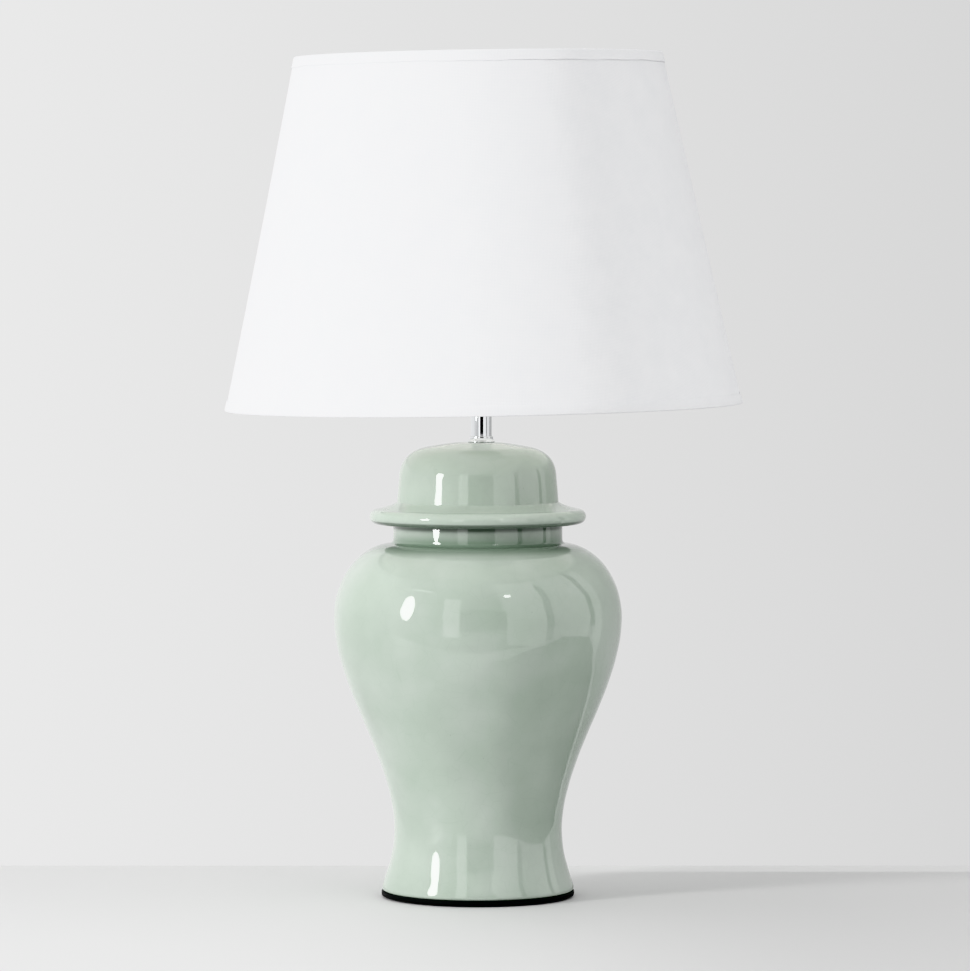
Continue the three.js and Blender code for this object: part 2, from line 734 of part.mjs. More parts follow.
// The run of one spider arm, from the fitter out and down to the bottom wire ring.
function armPath() {
  const wireHeight = rimLow + wireLift;
  const start = fitterRadius + GAP * 3;
  const end = shadeRadius(wireHeight) - wireInset - WIRE_RADIUS - GAP;
  const level = FITTER_THICKNESS / 2;
  return new THREE.CatmullRomCurve3([
    new THREE.Vector3(start, 0, level),
    new THREE.Vector3(start + 30, 0, level - 1),
    new THREE.Vector3((start + end) / 2, 0, level - FITTER_RECESS * 0.36),
    new THREE.Vector3(end - 18, 0, wireHeight + 4),
    new THREE.Vector3(end, 0, wireHeight),
  ]);
}

function wireAlong(path, radius) {
  const section = new THREE.Shape();
  section.absarc(0, 0, radius, 0, 2 * Math.PI);
  return new THREE.ExtrudeGeometry(section, {
    steps: ARM_STEPS,
    extrudePath: path,
    bevelEnabled: false,
    curveSegments: WIRE_SIDES,
  });
}

const armTurn = (i) => (2 * Math.PI * i) / ARM_COUNT + Math.PI / 2;

// The bottom hem is slit where each arm passes through it.
function bottomHem() {
  const reach = 12;
  const wireHeight = rimLow + wireLift;
  const end = shadeRadius(wireHeight) - wireInset - WIRE_RADIUS;
  const slits = Array.from({ length: ARM_COUNT }, (_, i) =>
    new THREE.BoxGeometry(reach, 2 * (WIRE_RADIUS + GAP), HEM_HEIGHT)
      .translate(end - reach / 2, 0, wireHeight - WIRE_RADIUS - GAP + HEM_HEIGHT / 2)
      .rotateZ(armTurn(i)));
  return cut(hem(rimLow, 1), ...slits);
}

// ---- Bulb: its own heights start at the tip ----

const insulatorBase = BULB_TIP_HEIGHT + CONTACT;
const capBase = insulatorBase + BULB_INSULATOR_HEIGHT + CONTACT;
const capTop = capBase + BULB_CAP_HEIGHT;
const diffuserLevel = BULB_LENGTH - BULB_RADIUS * 1.45;

function bulbTip() {
  const points = [
    [0, 0],
    [BULB_TIP_RADIUS * 0.6, 0],
    [BULB_TIP_RADIUS, BULB_TIP_HEIGHT / 2],
    [BULB_TIP_RADIUS, BULB_TIP_HEIGHT],
    [0, BULB_TIP_HEIGHT],
  ];
  return turned(points.map(([r, z]) => new THREE.Vector2(r, z)));
}

function bulbInsulator() {
  const top = insulatorBase + BULB_INSULATOR_HEIGHT;
  const points = [
    [0, insulatorBase],
    [BULB_TIP_RADIUS + 1, insulatorBase],
    [BULB_INSULATOR_RADIUS, top],
    [0, top],
  ];
  return turned(points.map(([r, z]) => new THREE.Vector2(r, z)));
}

// The screw cap, plain here: its thread runs between the same two radii.
function bulbCap() {
  const inside = BULB_CAP_RADIUS - BULB_CAP_WALL;
  const outline = new Outline(BULB_INSULATOR_RADIUS - 2, capBase)
    .line([BULB_INSULATOR_RADIUS, capBase])
    .line([BULB_CAP_RADIUS, capBase + 3])
    .line([BULB_CAP_RADIUS, capTop])
    .line([inside, capTop])
    .line([inside, capBase + 3.4])
    .line([BULB_INSULATOR_RADIUS - 2, capBase + 1]);
  return turned(outline.close());
}

// The opaque lower body, plugged into the cap and flaring up to the diffuser.
function bulbBody() {
  const plug = BULB_CAP_RADIUS - BULB_CAP_WALL - GAP;
  const bottom = capTop - BULB_PLUG_DEPTH;
  const top = diffuserLevel - CONTACT;
  const neck = [BULB_CAP_RADIUS + 0.6, capTop + CONTACT];
  const flareLevel = (share) => capTop + 4 + share * (top - capTop - 4);
  const outline = new Outline(0, bottom)
    .line([plug, bottom])
    .line([plug, capTop + CONTACT])
    .line(neck)
    .line([neck[0], capTop + 4])
    .sweep([neck[0] + 1.4, flareLevel(0.36)], [BULB_RADIUS - 1, flareLevel(0.58)], [BULB_RADIUS, top], 5)
    .line([0, top]);
  return turned(outline.points);
}

function ledBoard() {
  const low = diffuserLevel + CONTACT;
  return disc(BULB_RADIUS - DIFFUSER_WALL - 2, low, low + LED_BOARD_THICKNESS);
}

// The opal dome, open below where it stands on the body.
function bulbDiffuser() {
  const centre = BULB_LENGTH - BULB_RADIUS;
  const inside = BULB_RADIUS - DIFFUSER_WALL;
  const dome = (radius) => new THREE.EllipseCurve(0, centre, radius, radius, 0, Math.PI / 2);
  const outer = dome(BULB_RADIUS).getPoints(7);
  const inner = dome(inside).getPoints(5).reverse();
  const foot = new THREE.Vector2(inside, diffuserLevel);
  const outerFoot = new THREE.Vector2(BULB_RADIUS, diffuserLevel);
  outer.at(-1).x = 0;
  inner[0].x = 0;
  return turned([...inner, foot, outerFoot, ...outer]);
}

// ---- Assembly ----

const lamp = new THREE.Group();

piece(lamp, "felt_pad", feltPad(), BLACK_FELT);
piece(lamp, "base_disc", baseDisc(), BLACK_LACQUER);
piece(lamp, "cord_inlet", cordInlet(), BLACK_RUBBER);
piece(lamp, "ceramic_foot", jarFoot(), GLAZE);
piece(lamp, "ceramic_body", jarBody(), GLAZE);
piece(lamp, "ceramic_shoulder", jarShoulder(), GLAZE);
piece(lamp, "ceramic_neck", jarNeck(), GLAZE);
piece(lamp, "ceramic_lid", lid(), GLAZE);

// Everything on the rod stands on one axis.
const stem = new THREE.Group();
stem.position.x = ROD_OFFSET;
lamp.add(stem);

const cushionTop = recessCeiling - CONTACT;
const washerTop = cushionTop - CUSHION_THICKNESS - CONTACT;
const cushion = ring(rodHole, CUSHION_RADIUS, cushionTop - CUSHION_THICKNESS, cushionTop);
const washer = ring(rodHole, WASHER_RADIUS, washerTop - WASHER_THICKNESS, washerTop);
piece(stem, "rubber_cushion", cushion, BLACK_RUBBER);
piece(stem, "steel_washer", washer, ZINC);
piece(stem, "rod_nut", hexNut(), ZINC);
piece(stem, "threaded_rod", threadedRod(), ZINC);

piece(stem, "neck_collar", collar(), CHROME);
piece(stem, "neck_tube", neckTube(), CHROME);

piece(stem, "holder_cap", holderCap(), WHITE_PLASTIC);
piece(stem, "holder_lock_screw", lockScrew(), ZINC);
piece(stem, "holder_body", holderBody(), WHITE_PLASTIC);
piece(stem, "holder_insulator", insulator(), PORCELAIN);
piece(stem, "terminal_screw_1", terminalScrew(-1), BRASS);
piece(stem, "terminal_screw_2", terminalScrew(1), BRASS);
piece(stem, "screw_shell", screwShell(), NICKEL);
piece(stem, "centre_contact", centreContact(), BRASS);
piece(stem, "switch_bar", switchBar(), WHITE_PLASTIC);
piece(stem, "slip_washer", slipWasher(), WHITE_PLASTIC);
piece(stem, "shade_ring", shadeRing(), WHITE_PLASTIC);

const fitter = new THREE.Group();
fitter.position.set(SHADE_SHIFT, 0, fitterLevel + CONTACT);
stem.add(fitter);
const fitterRing = ring(fitterBore, fitterRadius, 0, FITTER_THICKNESS, SMALL_FACETS + 4);
piece(fitter, "fitter_ring", fitterRing, WHITE_ENAMEL);

const shade = new THREE.Group();
shade.rotation.set(LEAN_FORWARD, -LEAN_LEFT, 0);
fitter.add(shade);
piece(shade, "shade_cover", sheet(coverInset, COVER_THICKNESS), WHITE_FABRIC);
piece(shade, "shade_liner", sheet(linerInset, LINER_THICKNESS), WHITE_STYRENE);
piece(shade, "bottom_wire_ring", wireRing(rimLow + wireLift), WHITE_ENAMEL);
piece(shade, "top_wire_ring", wireRing(rimHigh - wireLift), WHITE_ENAMEL);
piece(shade, "bottom_hem", bottomHem(), WHITE_FABRIC);
piece(shade, "top_hem", hem(rimHigh, -1), WHITE_FABRIC);
for (let i = 0; i < ARM_COUNT; i++) {
  const arm = piece(shade, `spider_arm_${i + 1}`, wireAlong(armPath(), WIRE_RADIUS), WHITE_ENAMEL);
  arm.rotation.z = armTurn(i);
}

const bulb = new THREE.Group();
bulb.position.z = bulbLevel;
stem.add(bulb);
piece(bulb, "bulb_tip", bulbTip(), SOLDER);
piece(bulb, "bulb_insulator", bulbInsulator(), BLACK_GLASS);
piece(bulb, "bulb_cap", bulbCap(), NICKEL);
piece(bulb, "bulb_body", bulbBody(), WHITE_PLASTIC);
piece(bulb, "led_board", ledBoard(), WHITE_ENAMEL);
piece(bulb, "bulb_diffuser", bulbDiffuser(), OPAL);

export default lamp;
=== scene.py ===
# A celadon temple-jar table lamp with a tapered fabric shade, dressed section by section
# in the order in which the lamp is put together. Metres, +Z up, the front faces -Y.
from math import acos, atan2, cos, exp, hypot, pi, radians, sin, tan
import bmesh
import bpy
from mathutils import Matrix, Vector


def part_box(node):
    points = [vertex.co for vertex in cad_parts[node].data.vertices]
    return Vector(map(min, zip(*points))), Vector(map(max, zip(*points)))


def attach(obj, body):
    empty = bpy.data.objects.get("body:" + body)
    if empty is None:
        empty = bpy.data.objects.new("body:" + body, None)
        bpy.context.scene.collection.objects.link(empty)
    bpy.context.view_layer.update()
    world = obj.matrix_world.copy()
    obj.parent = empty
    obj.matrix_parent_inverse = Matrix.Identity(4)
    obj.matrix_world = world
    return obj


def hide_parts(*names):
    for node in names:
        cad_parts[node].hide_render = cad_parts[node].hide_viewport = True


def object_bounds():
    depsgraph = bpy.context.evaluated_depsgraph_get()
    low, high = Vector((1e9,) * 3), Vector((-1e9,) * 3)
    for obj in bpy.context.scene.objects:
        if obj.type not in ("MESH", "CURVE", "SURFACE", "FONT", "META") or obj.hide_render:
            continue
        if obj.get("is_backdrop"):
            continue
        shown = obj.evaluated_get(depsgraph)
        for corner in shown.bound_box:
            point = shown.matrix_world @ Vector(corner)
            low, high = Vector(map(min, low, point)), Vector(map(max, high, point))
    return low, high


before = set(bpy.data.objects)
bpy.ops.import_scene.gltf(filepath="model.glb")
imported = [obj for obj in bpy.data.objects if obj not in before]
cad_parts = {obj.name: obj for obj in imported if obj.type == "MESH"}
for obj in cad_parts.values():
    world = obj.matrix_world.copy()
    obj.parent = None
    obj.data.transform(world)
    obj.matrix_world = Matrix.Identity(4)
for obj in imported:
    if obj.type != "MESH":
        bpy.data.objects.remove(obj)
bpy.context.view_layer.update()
scene = bpy.context.scene

# ---- Camera ----
# A long lens, about four metres off and half a metre above the table, pitched a little down.
LENS_MM = 196.7
SENSOR_MM = 36.0
CAMERA_DISTANCE = 4.095
CAMERA_HEIGHT = 0.5014
AIM_HEIGHT = 0.3184
CAMERA_SIDE = 0.0055


def point_at(obj, target):
    """Turns a camera or a light towards a point."""
    direction = Vector(target) - obj.location
    obj.rotation_euler = direction.to_track_quat("-Z", "Y").to_euler()


camera_data = bpy.data.cameras.new("camera")
camera_data.lens = LENS_MM
camera_data.sensor_width = SENSOR_MM
camera_data.clip_end = 50
camera = bpy.data.objects.new("camera", camera_data)
scene.collection.objects.link(camera)
camera.location = (CAMERA_SIDE, -CAMERA_DISTANCE, CAMERA_HEIGHT)
point_at(camera, (CAMERA_SIDE, 0, AIM_HEIGHT))
scene.camera = camera

# ---- Room and light ----
# A pale grey room, brighter at the left, with one tall bright window at the front left and broad
# dim panes at the right, dark bars between them. A black card in front darkens the chrome's
# middle, and one laid at the right darkens the glaze above the foot on that side.
LEFT_LEVEL = 1.02
RIGHT_LEVEL = 0.5
FRONT_SHARE = 0.68
ZENITH_SHARE = 1.25
GROUND_SHARE = 0.4
# each fade: the direction's axis, where it starts and ends, the level before and after, its blend
FADES = [
    ("X", -0.4, 0.5, LEFT_LEVEL, RIGHT_LEVEL, "SMOOTHSTEP"),
    ("Y", -0.8, 0.2, FRONT_SHARE, 1.0, "SMOOTHSTEP"),
    ("Z", 0.12, 0.8, 1.0, ZENITH_SHARE, "LINEAR"),
    ("Z", -0.6, -0.16, GROUND_SHARE, 1.0, "SMOOTHSTEP"),
]
FRONT_CARD = ((-0.55, -2.3, -0.05), (0.95, -2.28, 0.95))
FLOOR_CARD = ((0.02, -0.44, 0.0005), (1.2, 0.16, 0.0015))
BAR_AZIMUTHS = (58.5, 102)
BAR_HALF_WIDTH = 0.1
BAR_DISTANCE = 2.3
BAR_HEIGHT = 3
AIM = (0.0, 0.0, 0.3)
PANEL_DISTANCE = 2.6
GLARE = 5
# each panel: azimuth from the camera's side, width, lowest and highest elevation, radiance
PANELS = {
    "tall_window": (-57.5, 10.5, -1, 25, 22.0),
    "window_head": (-51.0, 20.0, 33.5, 35, 2.5),
    "pale_door": (-20.5, 13.0, -12, 26, 1.2),
    "ceiling_lamp": (25.5, 5.0, 28, 31.5, 12.0),
    "near_pane": (39.0, 36.0, -20, 55, 0.8),
    "middle_pane": (80.0, 40.0, -20, 55, 0.5),
    "far_pane": (109.5, 13.0, -20, 55, 0.45),
}


def linear(colour):
    """An sRGB hex colour as linear red, green, blue and alpha."""
    parts = [int(colour[i:i + 2], 16) / 255 for i in (1, 3, 5)]
    return [c / 12.92 if c <= 0.04045 else ((c + 0.055) / 1.055) ** 2.4 for c in parts] + [1.0]


def node(tree, kind, inputs=None, **settings):
    """Adds a node: an input that is a node or a socket is linked, any other is set."""
    made = tree.nodes.new("ShaderNode" + kind)
    for name, value in settings.items():
        setattr(made, name, value)
    for name, value in (inputs or {}).items():
        if isinstance(value, bpy.types.Node):
            value = value.outputs[0]
        if isinstance(value, bpy.types.NodeSocket):
            tree.links.new(value, made.inputs[name])
        else:
            made.inputs[name].default_value = value
    return made


scene.view_settings.view_transform = "Khronos PBR Neutral"

room = bpy.data.worlds.new("room")
scene.world = room
room.use_nodes = True
air = room.node_tree
towards = node(air, "SeparateXYZ", {0: node(air, "TexCoord").outputs["Generated"]})
glow = 1.0
for axis, start, end, before, after, blend in FADES:
    fade = node(air, "MapRange", {
        "Value": towards.outputs[axis], "From Min": start, "From Max": end,
        "To Min": before, "To Max": after,
    }, interpolation_type=blend)
    glow = node(air, "Math", {0: glow, 1: fade}, operation="MULTIPLY")
air.links.new(glow.outputs[0], air.nodes["Background"].inputs["Color"])


def panel(name, azimuth, width, low, high, radiance):
    """A plain glowing panel that faces the lamp, placed by the angles at which the lamp sees it.

    A glaring one is rounded, as its blurred reflection is.
    """
    middle, half = radians((low + high) / 2), radians((high - low) / 2)
    around = radians(azimuth)
    data = bpy.data.lights.new(name, "AREA")
    data.shape = "ELLIPSE" if radiance > GLARE else "RECTANGLE"
    data.size = 2 * PANEL_DISTANCE * tan(radians(width / 2))
    data.size_y = 2 * PANEL_DISTANCE * tan(half)
    data.energy = radiance * pi * data.size * data.size_y
    light = bpy.data.objects.new(name, data)
    scene.collection.objects.link(light)
    away = Vector((sin(around) * cos(middle), -cos(around) * cos(middle), sin(middle)))
    light.location = Vector(AIM) + PANEL_DISTANCE * away
    point_at(light, AIM)
    light.visible_camera = False


for name, angles in PANELS.items():
    panel(name, *angles)

# ---- Floor ----
# A plain pale board, painted matt. It ends close behind the lamp, where the wall begins.
FLOOR_COLOUR = "#dbdbdb"
FLOOR_FRONT = -0.53
FLOOR_BACK = 0.2
FLOOR_SIDE = 1.3
FLOOR_THICKNESS = 0.03
CARD_COLOUR = "#050505"
GAUZE_FADE = (0.03, 0.3)


def surface(name, **inputs):
    """A material with one principled shader; returns the material, its tree and the shader."""
    made = bpy.data.materials.new(name)
    made.use_nodes = True
    shader = made.node_tree.nodes["Principled BSDF"]
    for socket, value in inputs.items():
        shader.inputs[socket.replace("_", " ")].default_value = value
    return made, made.node_tree, shader


def finish(name, grain_mm, grain, tones, texture="TexNoise", dull=None, relief=None, **inputs):
    """A material whose grain runs between two tones; it may vary its gloss and its height too.

    dull is the roughness at both ends of the grain, and relief the strength and height of its bump.
    """
    made, tree, shader = surface(name, **inputs)
    pattern = node(tree, texture, {"Scale": 1000 / grain_mm, **grain})
    looks = {"Base Color": node(tree, "MixRGB", {0: pattern, 1: linear(tones[0]), 2: linear(tones[1])})}
    if dull:
        gloss = {"Value": pattern, "To Min": dull[0], "To Max": dull[1]}
        looks["Roughness"] = node(tree, "MapRange", gloss)
    if relief:
        bump = {"Height": pattern, "Strength": relief[0], "Distance": relief[1]}
        looks["Normal"] = node(tree, "Bump", bump)
    for socket, look in looks.items():
        tree.links.new(look.outputs[0], shader.inputs[socket])
    return made


def added(name, points, faces, material=None):
    """A new mesh object in the scene; its points are in metres."""
    mesh = bpy.data.meshes.new(name)
    mesh.from_pydata(points, [], faces)
    if material:
        mesh.materials.append(material)
    made = bpy.data.objects.new(name, mesh)
    scene.collection.objects.link(made)
    return made


def box_mesh(name, low, high, material=None):
    """A closed block between two corners, in metres."""
    xs, ys, zs = zip(low, high)
    corners = [(x, y, z) for x in xs for y in ys for z in zs]
    faces = [(0, 1, 3, 2), (4, 6, 7, 5), (0, 4, 5, 1), (2, 3, 7, 6), (0, 2, 6, 4), (1, 5, 7, 3)]
    return added(name, corners, faces, material)


# matt paint: a plain pale tone with the fine stipple a roller leaves
matt_paint = finish(
    "matt_board_paint", 4.17, {"Detail": 3.0}, (FLOOR_COLOUR, FLOOR_COLOUR), relief=(0.1, 0.0004),
    Roughness=0.6, IOR=1.5,
)
floor = box_mesh(
    "floor", (-FLOOR_SIDE, FLOOR_FRONT, -FLOOR_THICKNESS), (FLOOR_SIDE, FLOOR_BACK, 0), matt_paint,
)
# black paper: no gloss; the card on the floor fades in from the lamp outwards, as gauze would
black_card = surface("black_card", Base_Color=linear(CARD_COLOUR), Roughness=1.0, IOR=1.3)[0]
black_gauze, tree, shader = surface(
    "black_gauze", Base_Color=linear(CARD_COLOUR), Roughness=1.0, IOR=1.3,
)
spread = node(tree, "SeparateXYZ", {0: node(tree, "TexCoord").outputs["Object"]}).outputs["X"]
fade = node(tree, "MapRange", {"Value": spread, "From Min": GAUZE_FADE[0], "From Max": GAUZE_FADE[1]})
tree.links.new(fade.outputs[0], shader.inputs["Alpha"])


def card(name, low, high, material):
    """A dark card that only mirror-like surfaces see; the camera doesn't."""
    made = box_mesh(name, low, high, material)
    made.visible_camera = False
    made.visible_shadow = False
    made.visible_diffuse = False
    made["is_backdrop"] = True


floor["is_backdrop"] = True
card("front_card", *FRONT_CARD, black_card)
card("floor_card", *FLOOR_CARD, black_gauze)
half_bar = Vector((BAR_HALF_WIDTH, BAR_HALF_WIDTH, 0))
for azimuth in BAR_AZIMUTHS:
    around = radians(azimuth)
    foot = Vector((BAR_DISTANCE * sin(around), -BAR_DISTANCE * cos(around), 0))
    top = foot + Vector((0, 0, BAR_HEIGHT))
    card(f"window_bar_{azimuth:g}", foot - half_bar, top + half_bar, black_card)

# ---- Felt pad and base disc ----
# A disc lacquered matt black closes the foot, with a felt pad glued under it so that it
# doesn't scratch. Both are cut round; the disc's edge is eased and the felt's is a little fuzzy.
FELT_TONES = ("#191a19", "#2b2c2a")
FELT_FUZZ = 0.12
FELT_FIBRE_MM = 0.8
LACQUER_TONES = ("#060706", "#0d0e0e")
LACQUER_GRAIN_MM = 0.9
RECESS_RADIUS = 60.0
RECESS_GAP = 0.6
SEAT_GAP = 0.05
DISC_SEGMENTS = 160


def lowest(name):
    """A node's lowest corner, in millimetres."""
    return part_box(name)[0] * 1000


def highest(name):
    """A node's highest corner, in millimetres."""
    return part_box(name)[1] * 1000


def levels(name):
    """A node's lowest and highest level, in millimetres."""
    return lowest(name).z, highest(name).z


def radius_of(name):
    """Half of a node's width, in millimetres."""
    low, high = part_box(name)
    return (high.x - low.x) * 500


def tidy(made, angle=32):
    """Faces point outward and are smooth, except across sharp edges."""
    work = bmesh.new()
    work.from_mesh(made.data)
    bmesh.ops.remove_doubles(work, verts=work.verts, dist=1e-7)
    bmesh.ops.recalc_face_normals(work, faces=work.faces)
    work.to_mesh(made.data)
    work.free()
    made.data.polygons.foreach_set("use_smooth", [True] * len(made.data.polygons))
    made.data.set_sharp_from_angle(angle=radians(angle))
    return made


def turned(name, outline, material, segments=96, axis=(0.0, 0.0), reshape=None):
    """Turns an outline of (radius, height) in millimetres about an upright axis.

    An outline that starts on the axis ends on it too; any other is a closed loop. reshape
    takes an angle, a radius and a height, and gives the radius and height there.
    """
    open_ended = outline[0][0] == 0
    points, rows = [], []
    for radius, height in outline:
        if radius == 0:
            rows.append([len(points)] * segments)
            points.append((axis[0] / 1000, axis[1] / 1000, height / 1000))
            continue
        rows.append([len(points) + i for i in range(segments)])
        for i in range(segments):
            angle = 2 * pi * i / segments
            r, z = reshape(angle, radius, height) if reshape else (radius, height)
            x, y = axis[0] + r * cos(angle), axis[1] + r * sin(angle)
            points.append((x / 1000, y / 1000, z / 1000))
    faces = []
    pairs = list(zip(rows, rows[1:])) + ([] if open_ended else [(rows[-1], rows[0])])
    for lower, upper in pairs:
        for i in range(segments):
            j = (i + 1) % segments
            corners = [lower[i], lower[j], upper[j], upper[i]]
            corners = [c for k, c in enumerate(corners) if c not in corners[:k]]
            if len(corners) > 2:
                faces.append(corners)
    return tidy(added(name, points, faces, material))


def bend(start, control, end, steps):
    """Points of a curve with one control point, without its start."""
    shares = [i / steps for i in range(1, steps + 1)]
    return [tuple(
        (1 - t) ** 2 * a + 2 * t * (1 - t) * b + t * t * c for a, b, c in zip(start, control, end)
    ) for t in shares]


class Outline(list):
    """A list of (radius, height) points in millimetres, which can be drawn on from its last one."""

    def bend(self, *rest):
        self += bend(self[-1], *rest)

    def sweep(self, *rest):
        self += sweep(self[-1], *rest)


def eased(corners, radius, steps=3):
    """An outline with its corners rounded; points on the axis stay as they are."""
    points = []
    open_ended = corners[0][0] == 0
    for i, corner in enumerate(corners):
        if open_ended and i in (0, len(corners) - 1):
            points.append(corner)
            continue
        ends = []
        for other in (corners[i - 1], corners[(i + 1) % len(corners)]):
            gap = Vector(other) - Vector(corner)
            ends.append(tuple(Vector(corner) + gap * min(radius / gap.length, 0.45)))
        points += [ends[0]] + bend(ends[0], corner, ends[1], steps)
    return points


def fitted(made, body, slot, *nodes):
    """The piece moves with a body and stands for the named nodes, which it hides; slot is not used."""
    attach(made, body)
    if nodes:
        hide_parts(*nodes)
    return made


# pressed wool felt: dull, no gloss, short fibres standing every way
black_felt = finish(
    "pressed_black_felt", FELT_FIBRE_MM, {"Detail": 6.0, "Roughness": 0.75}, FELT_TONES,
    relief=(0.9, 0.0006), Roughness=1.0, IOR=1.45, Sheen_Weight=0.35,
)
# sprayed lacquer: a soft wide sheen over a fine grain
black_lacquer = finish(
    "sprayed_black_lacquer", LACQUER_GRAIN_MM, {"Detail": 3.0}, LACQUER_TONES, dull=(0.45, 0.65),
    relief=(0.25, 0.0002), Roughness=0.55, IOR=1.5, Specular_IOR_Level=0.1,
)

felt_radius, felt_top = highest("felt_pad").x, highest("felt_pad").z
felt = turned(
    "felt_disc",
    eased([(0, 0), (felt_radius, 0), (felt_radius, felt_top), (0, felt_top)], 0.4),
    black_felt, DISC_SEGMENTS,
    reshape=lambda angle, r, z: (r - FELT_FUZZ * abs(sin(37 * angle) * sin(23 * angle + z)), z),
)
fitted(felt, "lamp", "black_felt", "felt_pad")

disc_low, disc_high = lowest("base_disc"), highest("base_disc")
foot_level = lowest("ceramic_foot").z
spigot_radius = RECESS_RADIUS - RECESS_GAP
flange_top = foot_level - SEAT_GAP
disc = turned(
    "base_closing_disc",
    eased([
        (0, disc_low.z), (disc_high.x, disc_low.z), (disc_high.x, flange_top),
        (spigot_radius, flange_top), (spigot_radius, disc_high.z), (0, disc_high.z),
    ], 0.7),
    black_lacquer, DISC_SEGMENTS,
)
fitted(disc, "lamp", "black_lacquer", "base_disc")

# ---- Jar ----
# A temple jar in white stoneware, thrown in sections, luted together and dipped in
# celadon glaze. The glaze is glassy and deep, a little uneven, and lies over a faint crackle.
WAIST_RADIUS = 65.0
NECK_RADIUS = 65.3
FOOT_EDGE = 2.4
NECK_FILLET = 4.0
NECK_RISE = 15.0
JAR_WALL = 7.0
JAR_FLOOR = 8.0
JAR_SEGMENTS = 192
RECESS_RISE = 22.0
INSIDE_FILLET = 4.0
INLET_HOLE = 5.5
ROD_HOLE = 5.6
# how far the foot's flare leans on its ends: sideways and up at the foot, up at the waist
FLARE_LEAN = (0.19, 0.23, 0.535)
GLAZE_PALE = "#b3beb4"
GLAZE_DEEP = "#a7b4a8"
# each belt: the heights over which it comes in and goes out again, its share and its colour
GLAZE_THINNING_AND_SHADE_BELTS = [
    # painted shade and painted reflection of the flange, in the throat
    ((268, 273), (277, 283), 0.72, "#6c856f"),
    ((290, 293), (297, 302), 0.25, "#bfcbc0"),
    # painted shade under the flange, where lid and jar meet
    ((284.5, 286.5), (291.4, 292.4), 0.7, "#39473c"),
]
CRACKLE_COLOUR = "#7f9383"
SPECK_COLOUR = "#5f6a58"
WASH_MM = 16.0
CRACKLE_CELL_MM = 11.0
CRACKLE_LINE_MM = 0.25
SPECK_CELL_MM = 14.0
SPECK_RADIUS_MM = 0.35
POOLING_MM = 45.0


def sweep(start, first, second, end, steps):
    """Points of a curve with two control points, without its start."""
    shares = [i / steps for i in range(1, steps + 1)]
    return [tuple(
        (1 - t) ** 3 * a + 3 * t * (1 - t) ** 2 * b + 3 * t * t * (1 - t) * c + t ** 3 * d
        for a, b, c, d in zip(start, first, second, end)
    ) for t in shares]


def arc(centre, radii, start, end, steps):
    """Points of an elliptical arc between two angles, with both ends."""
    angles = [start + (end - start) * i / steps for i in range(steps + 1)]
    return [(centre[0] + radii[0] * cos(a), centre[1] + radii[1] * sin(a)) for a in angles]


def thrown(angle, radius, height):
    """The slight unevenness of a pot drawn up by hand on a wheel."""
    oval = 0.22 * sin(2 * angle + 0.7) + 0.12 * sin(3 * angle + height / 60)
    rings = 0.05 * sin(height / 3.1 + angle) + 0.08 * sin(height / 11 - 2 * angle)
    return radius + min(radius / 60, 1) * (oval + rings), height


def cut(made, *tools):
    """Cuts tools out of a piece and keeps the result as its mesh."""
    for tool in tools:
        step = made.modifiers.new("cut", "BOOLEAN")
        step.operation = "DIFFERENCE"
        step.solver = "EXACT"
        step.object = tool
    graph = bpy.context.evaluated_depsgraph_get()
    result = bpy.data.meshes.new_from_object(made.evaluated_get(graph))
    made.modifiers.clear()
    made.data = result
    for tool in tools:
        bpy.data.objects.remove(tool)
    return tidy(made)


def drill(radius, start, end, across=False):
    """A drill along an upright axis at start[0], or across it towards +Y at a height."""
    length = end - start[1]
    tool = turned("drill", [(0, 0), (radius, 0), (radius, length), (0, length)], bare_clay, 48)
    turn = Matrix.Rotation(-pi / 2, 4, "X") if across else Matrix.Identity(4)
    at = (0, start[1], start[0]) if across else (start[0], 0, start[1])
    tool.data.transform(Matrix.Translation(Vector(at) / 1000) @ turn)
    return tool


# the fired body where no glaze runs
bare_clay = surface("bare_stoneware", Base_Color=linear("#d9d4c8"), Roughness=0.9, IOR=1.5)[0]

# lead-free celadon: a clear glassy coat that mirrors the room over a soft green-grey body,
# paler where it runs thin on edges, with a hairline crackle under it and a few iron specks
celadon, tree, shader = surface(
    "celadon_glaze", IOR=1.52, Roughness=0.06, Coat_Weight=0.35, Coat_Roughness=0.02,
)
place = node(tree, "TexCoord").outputs["Object"]
pools = node(tree, "TexNoise", {
    "Vector": place, "Scale": 1000 / POOLING_MM, "Detail": 3.0, "Roughness": 0.45,
})
depth = node(tree, "MapRange", {"Value": pools, "From Min": 0.3, "From Max": 0.7})
body_colour = node(tree, "MixRGB", {0: depth, 1: linear(GLAZE_DEEP), 2: linear(GLAZE_PALE)})
rise = node(tree, "SeparateXYZ", {0: place}).outputs["Z"]


def belt(low, high, most):
    """A share that rises over one pair of heights and falls again over another."""
    up = node(tree, "MapRange", {"Value": rise, "From Min": low[0] / 1000, "From Max": low[1] / 1000})
    down = node(tree, "MapRange", {
        "Value": rise, "From Min": high[0] / 1000, "From Max": high[1] / 1000,
        "To Min": most, "To Max": 0.0,
    })
    return node(tree, "Math", {0: up, 1: down}, operation="MULTIPLY")
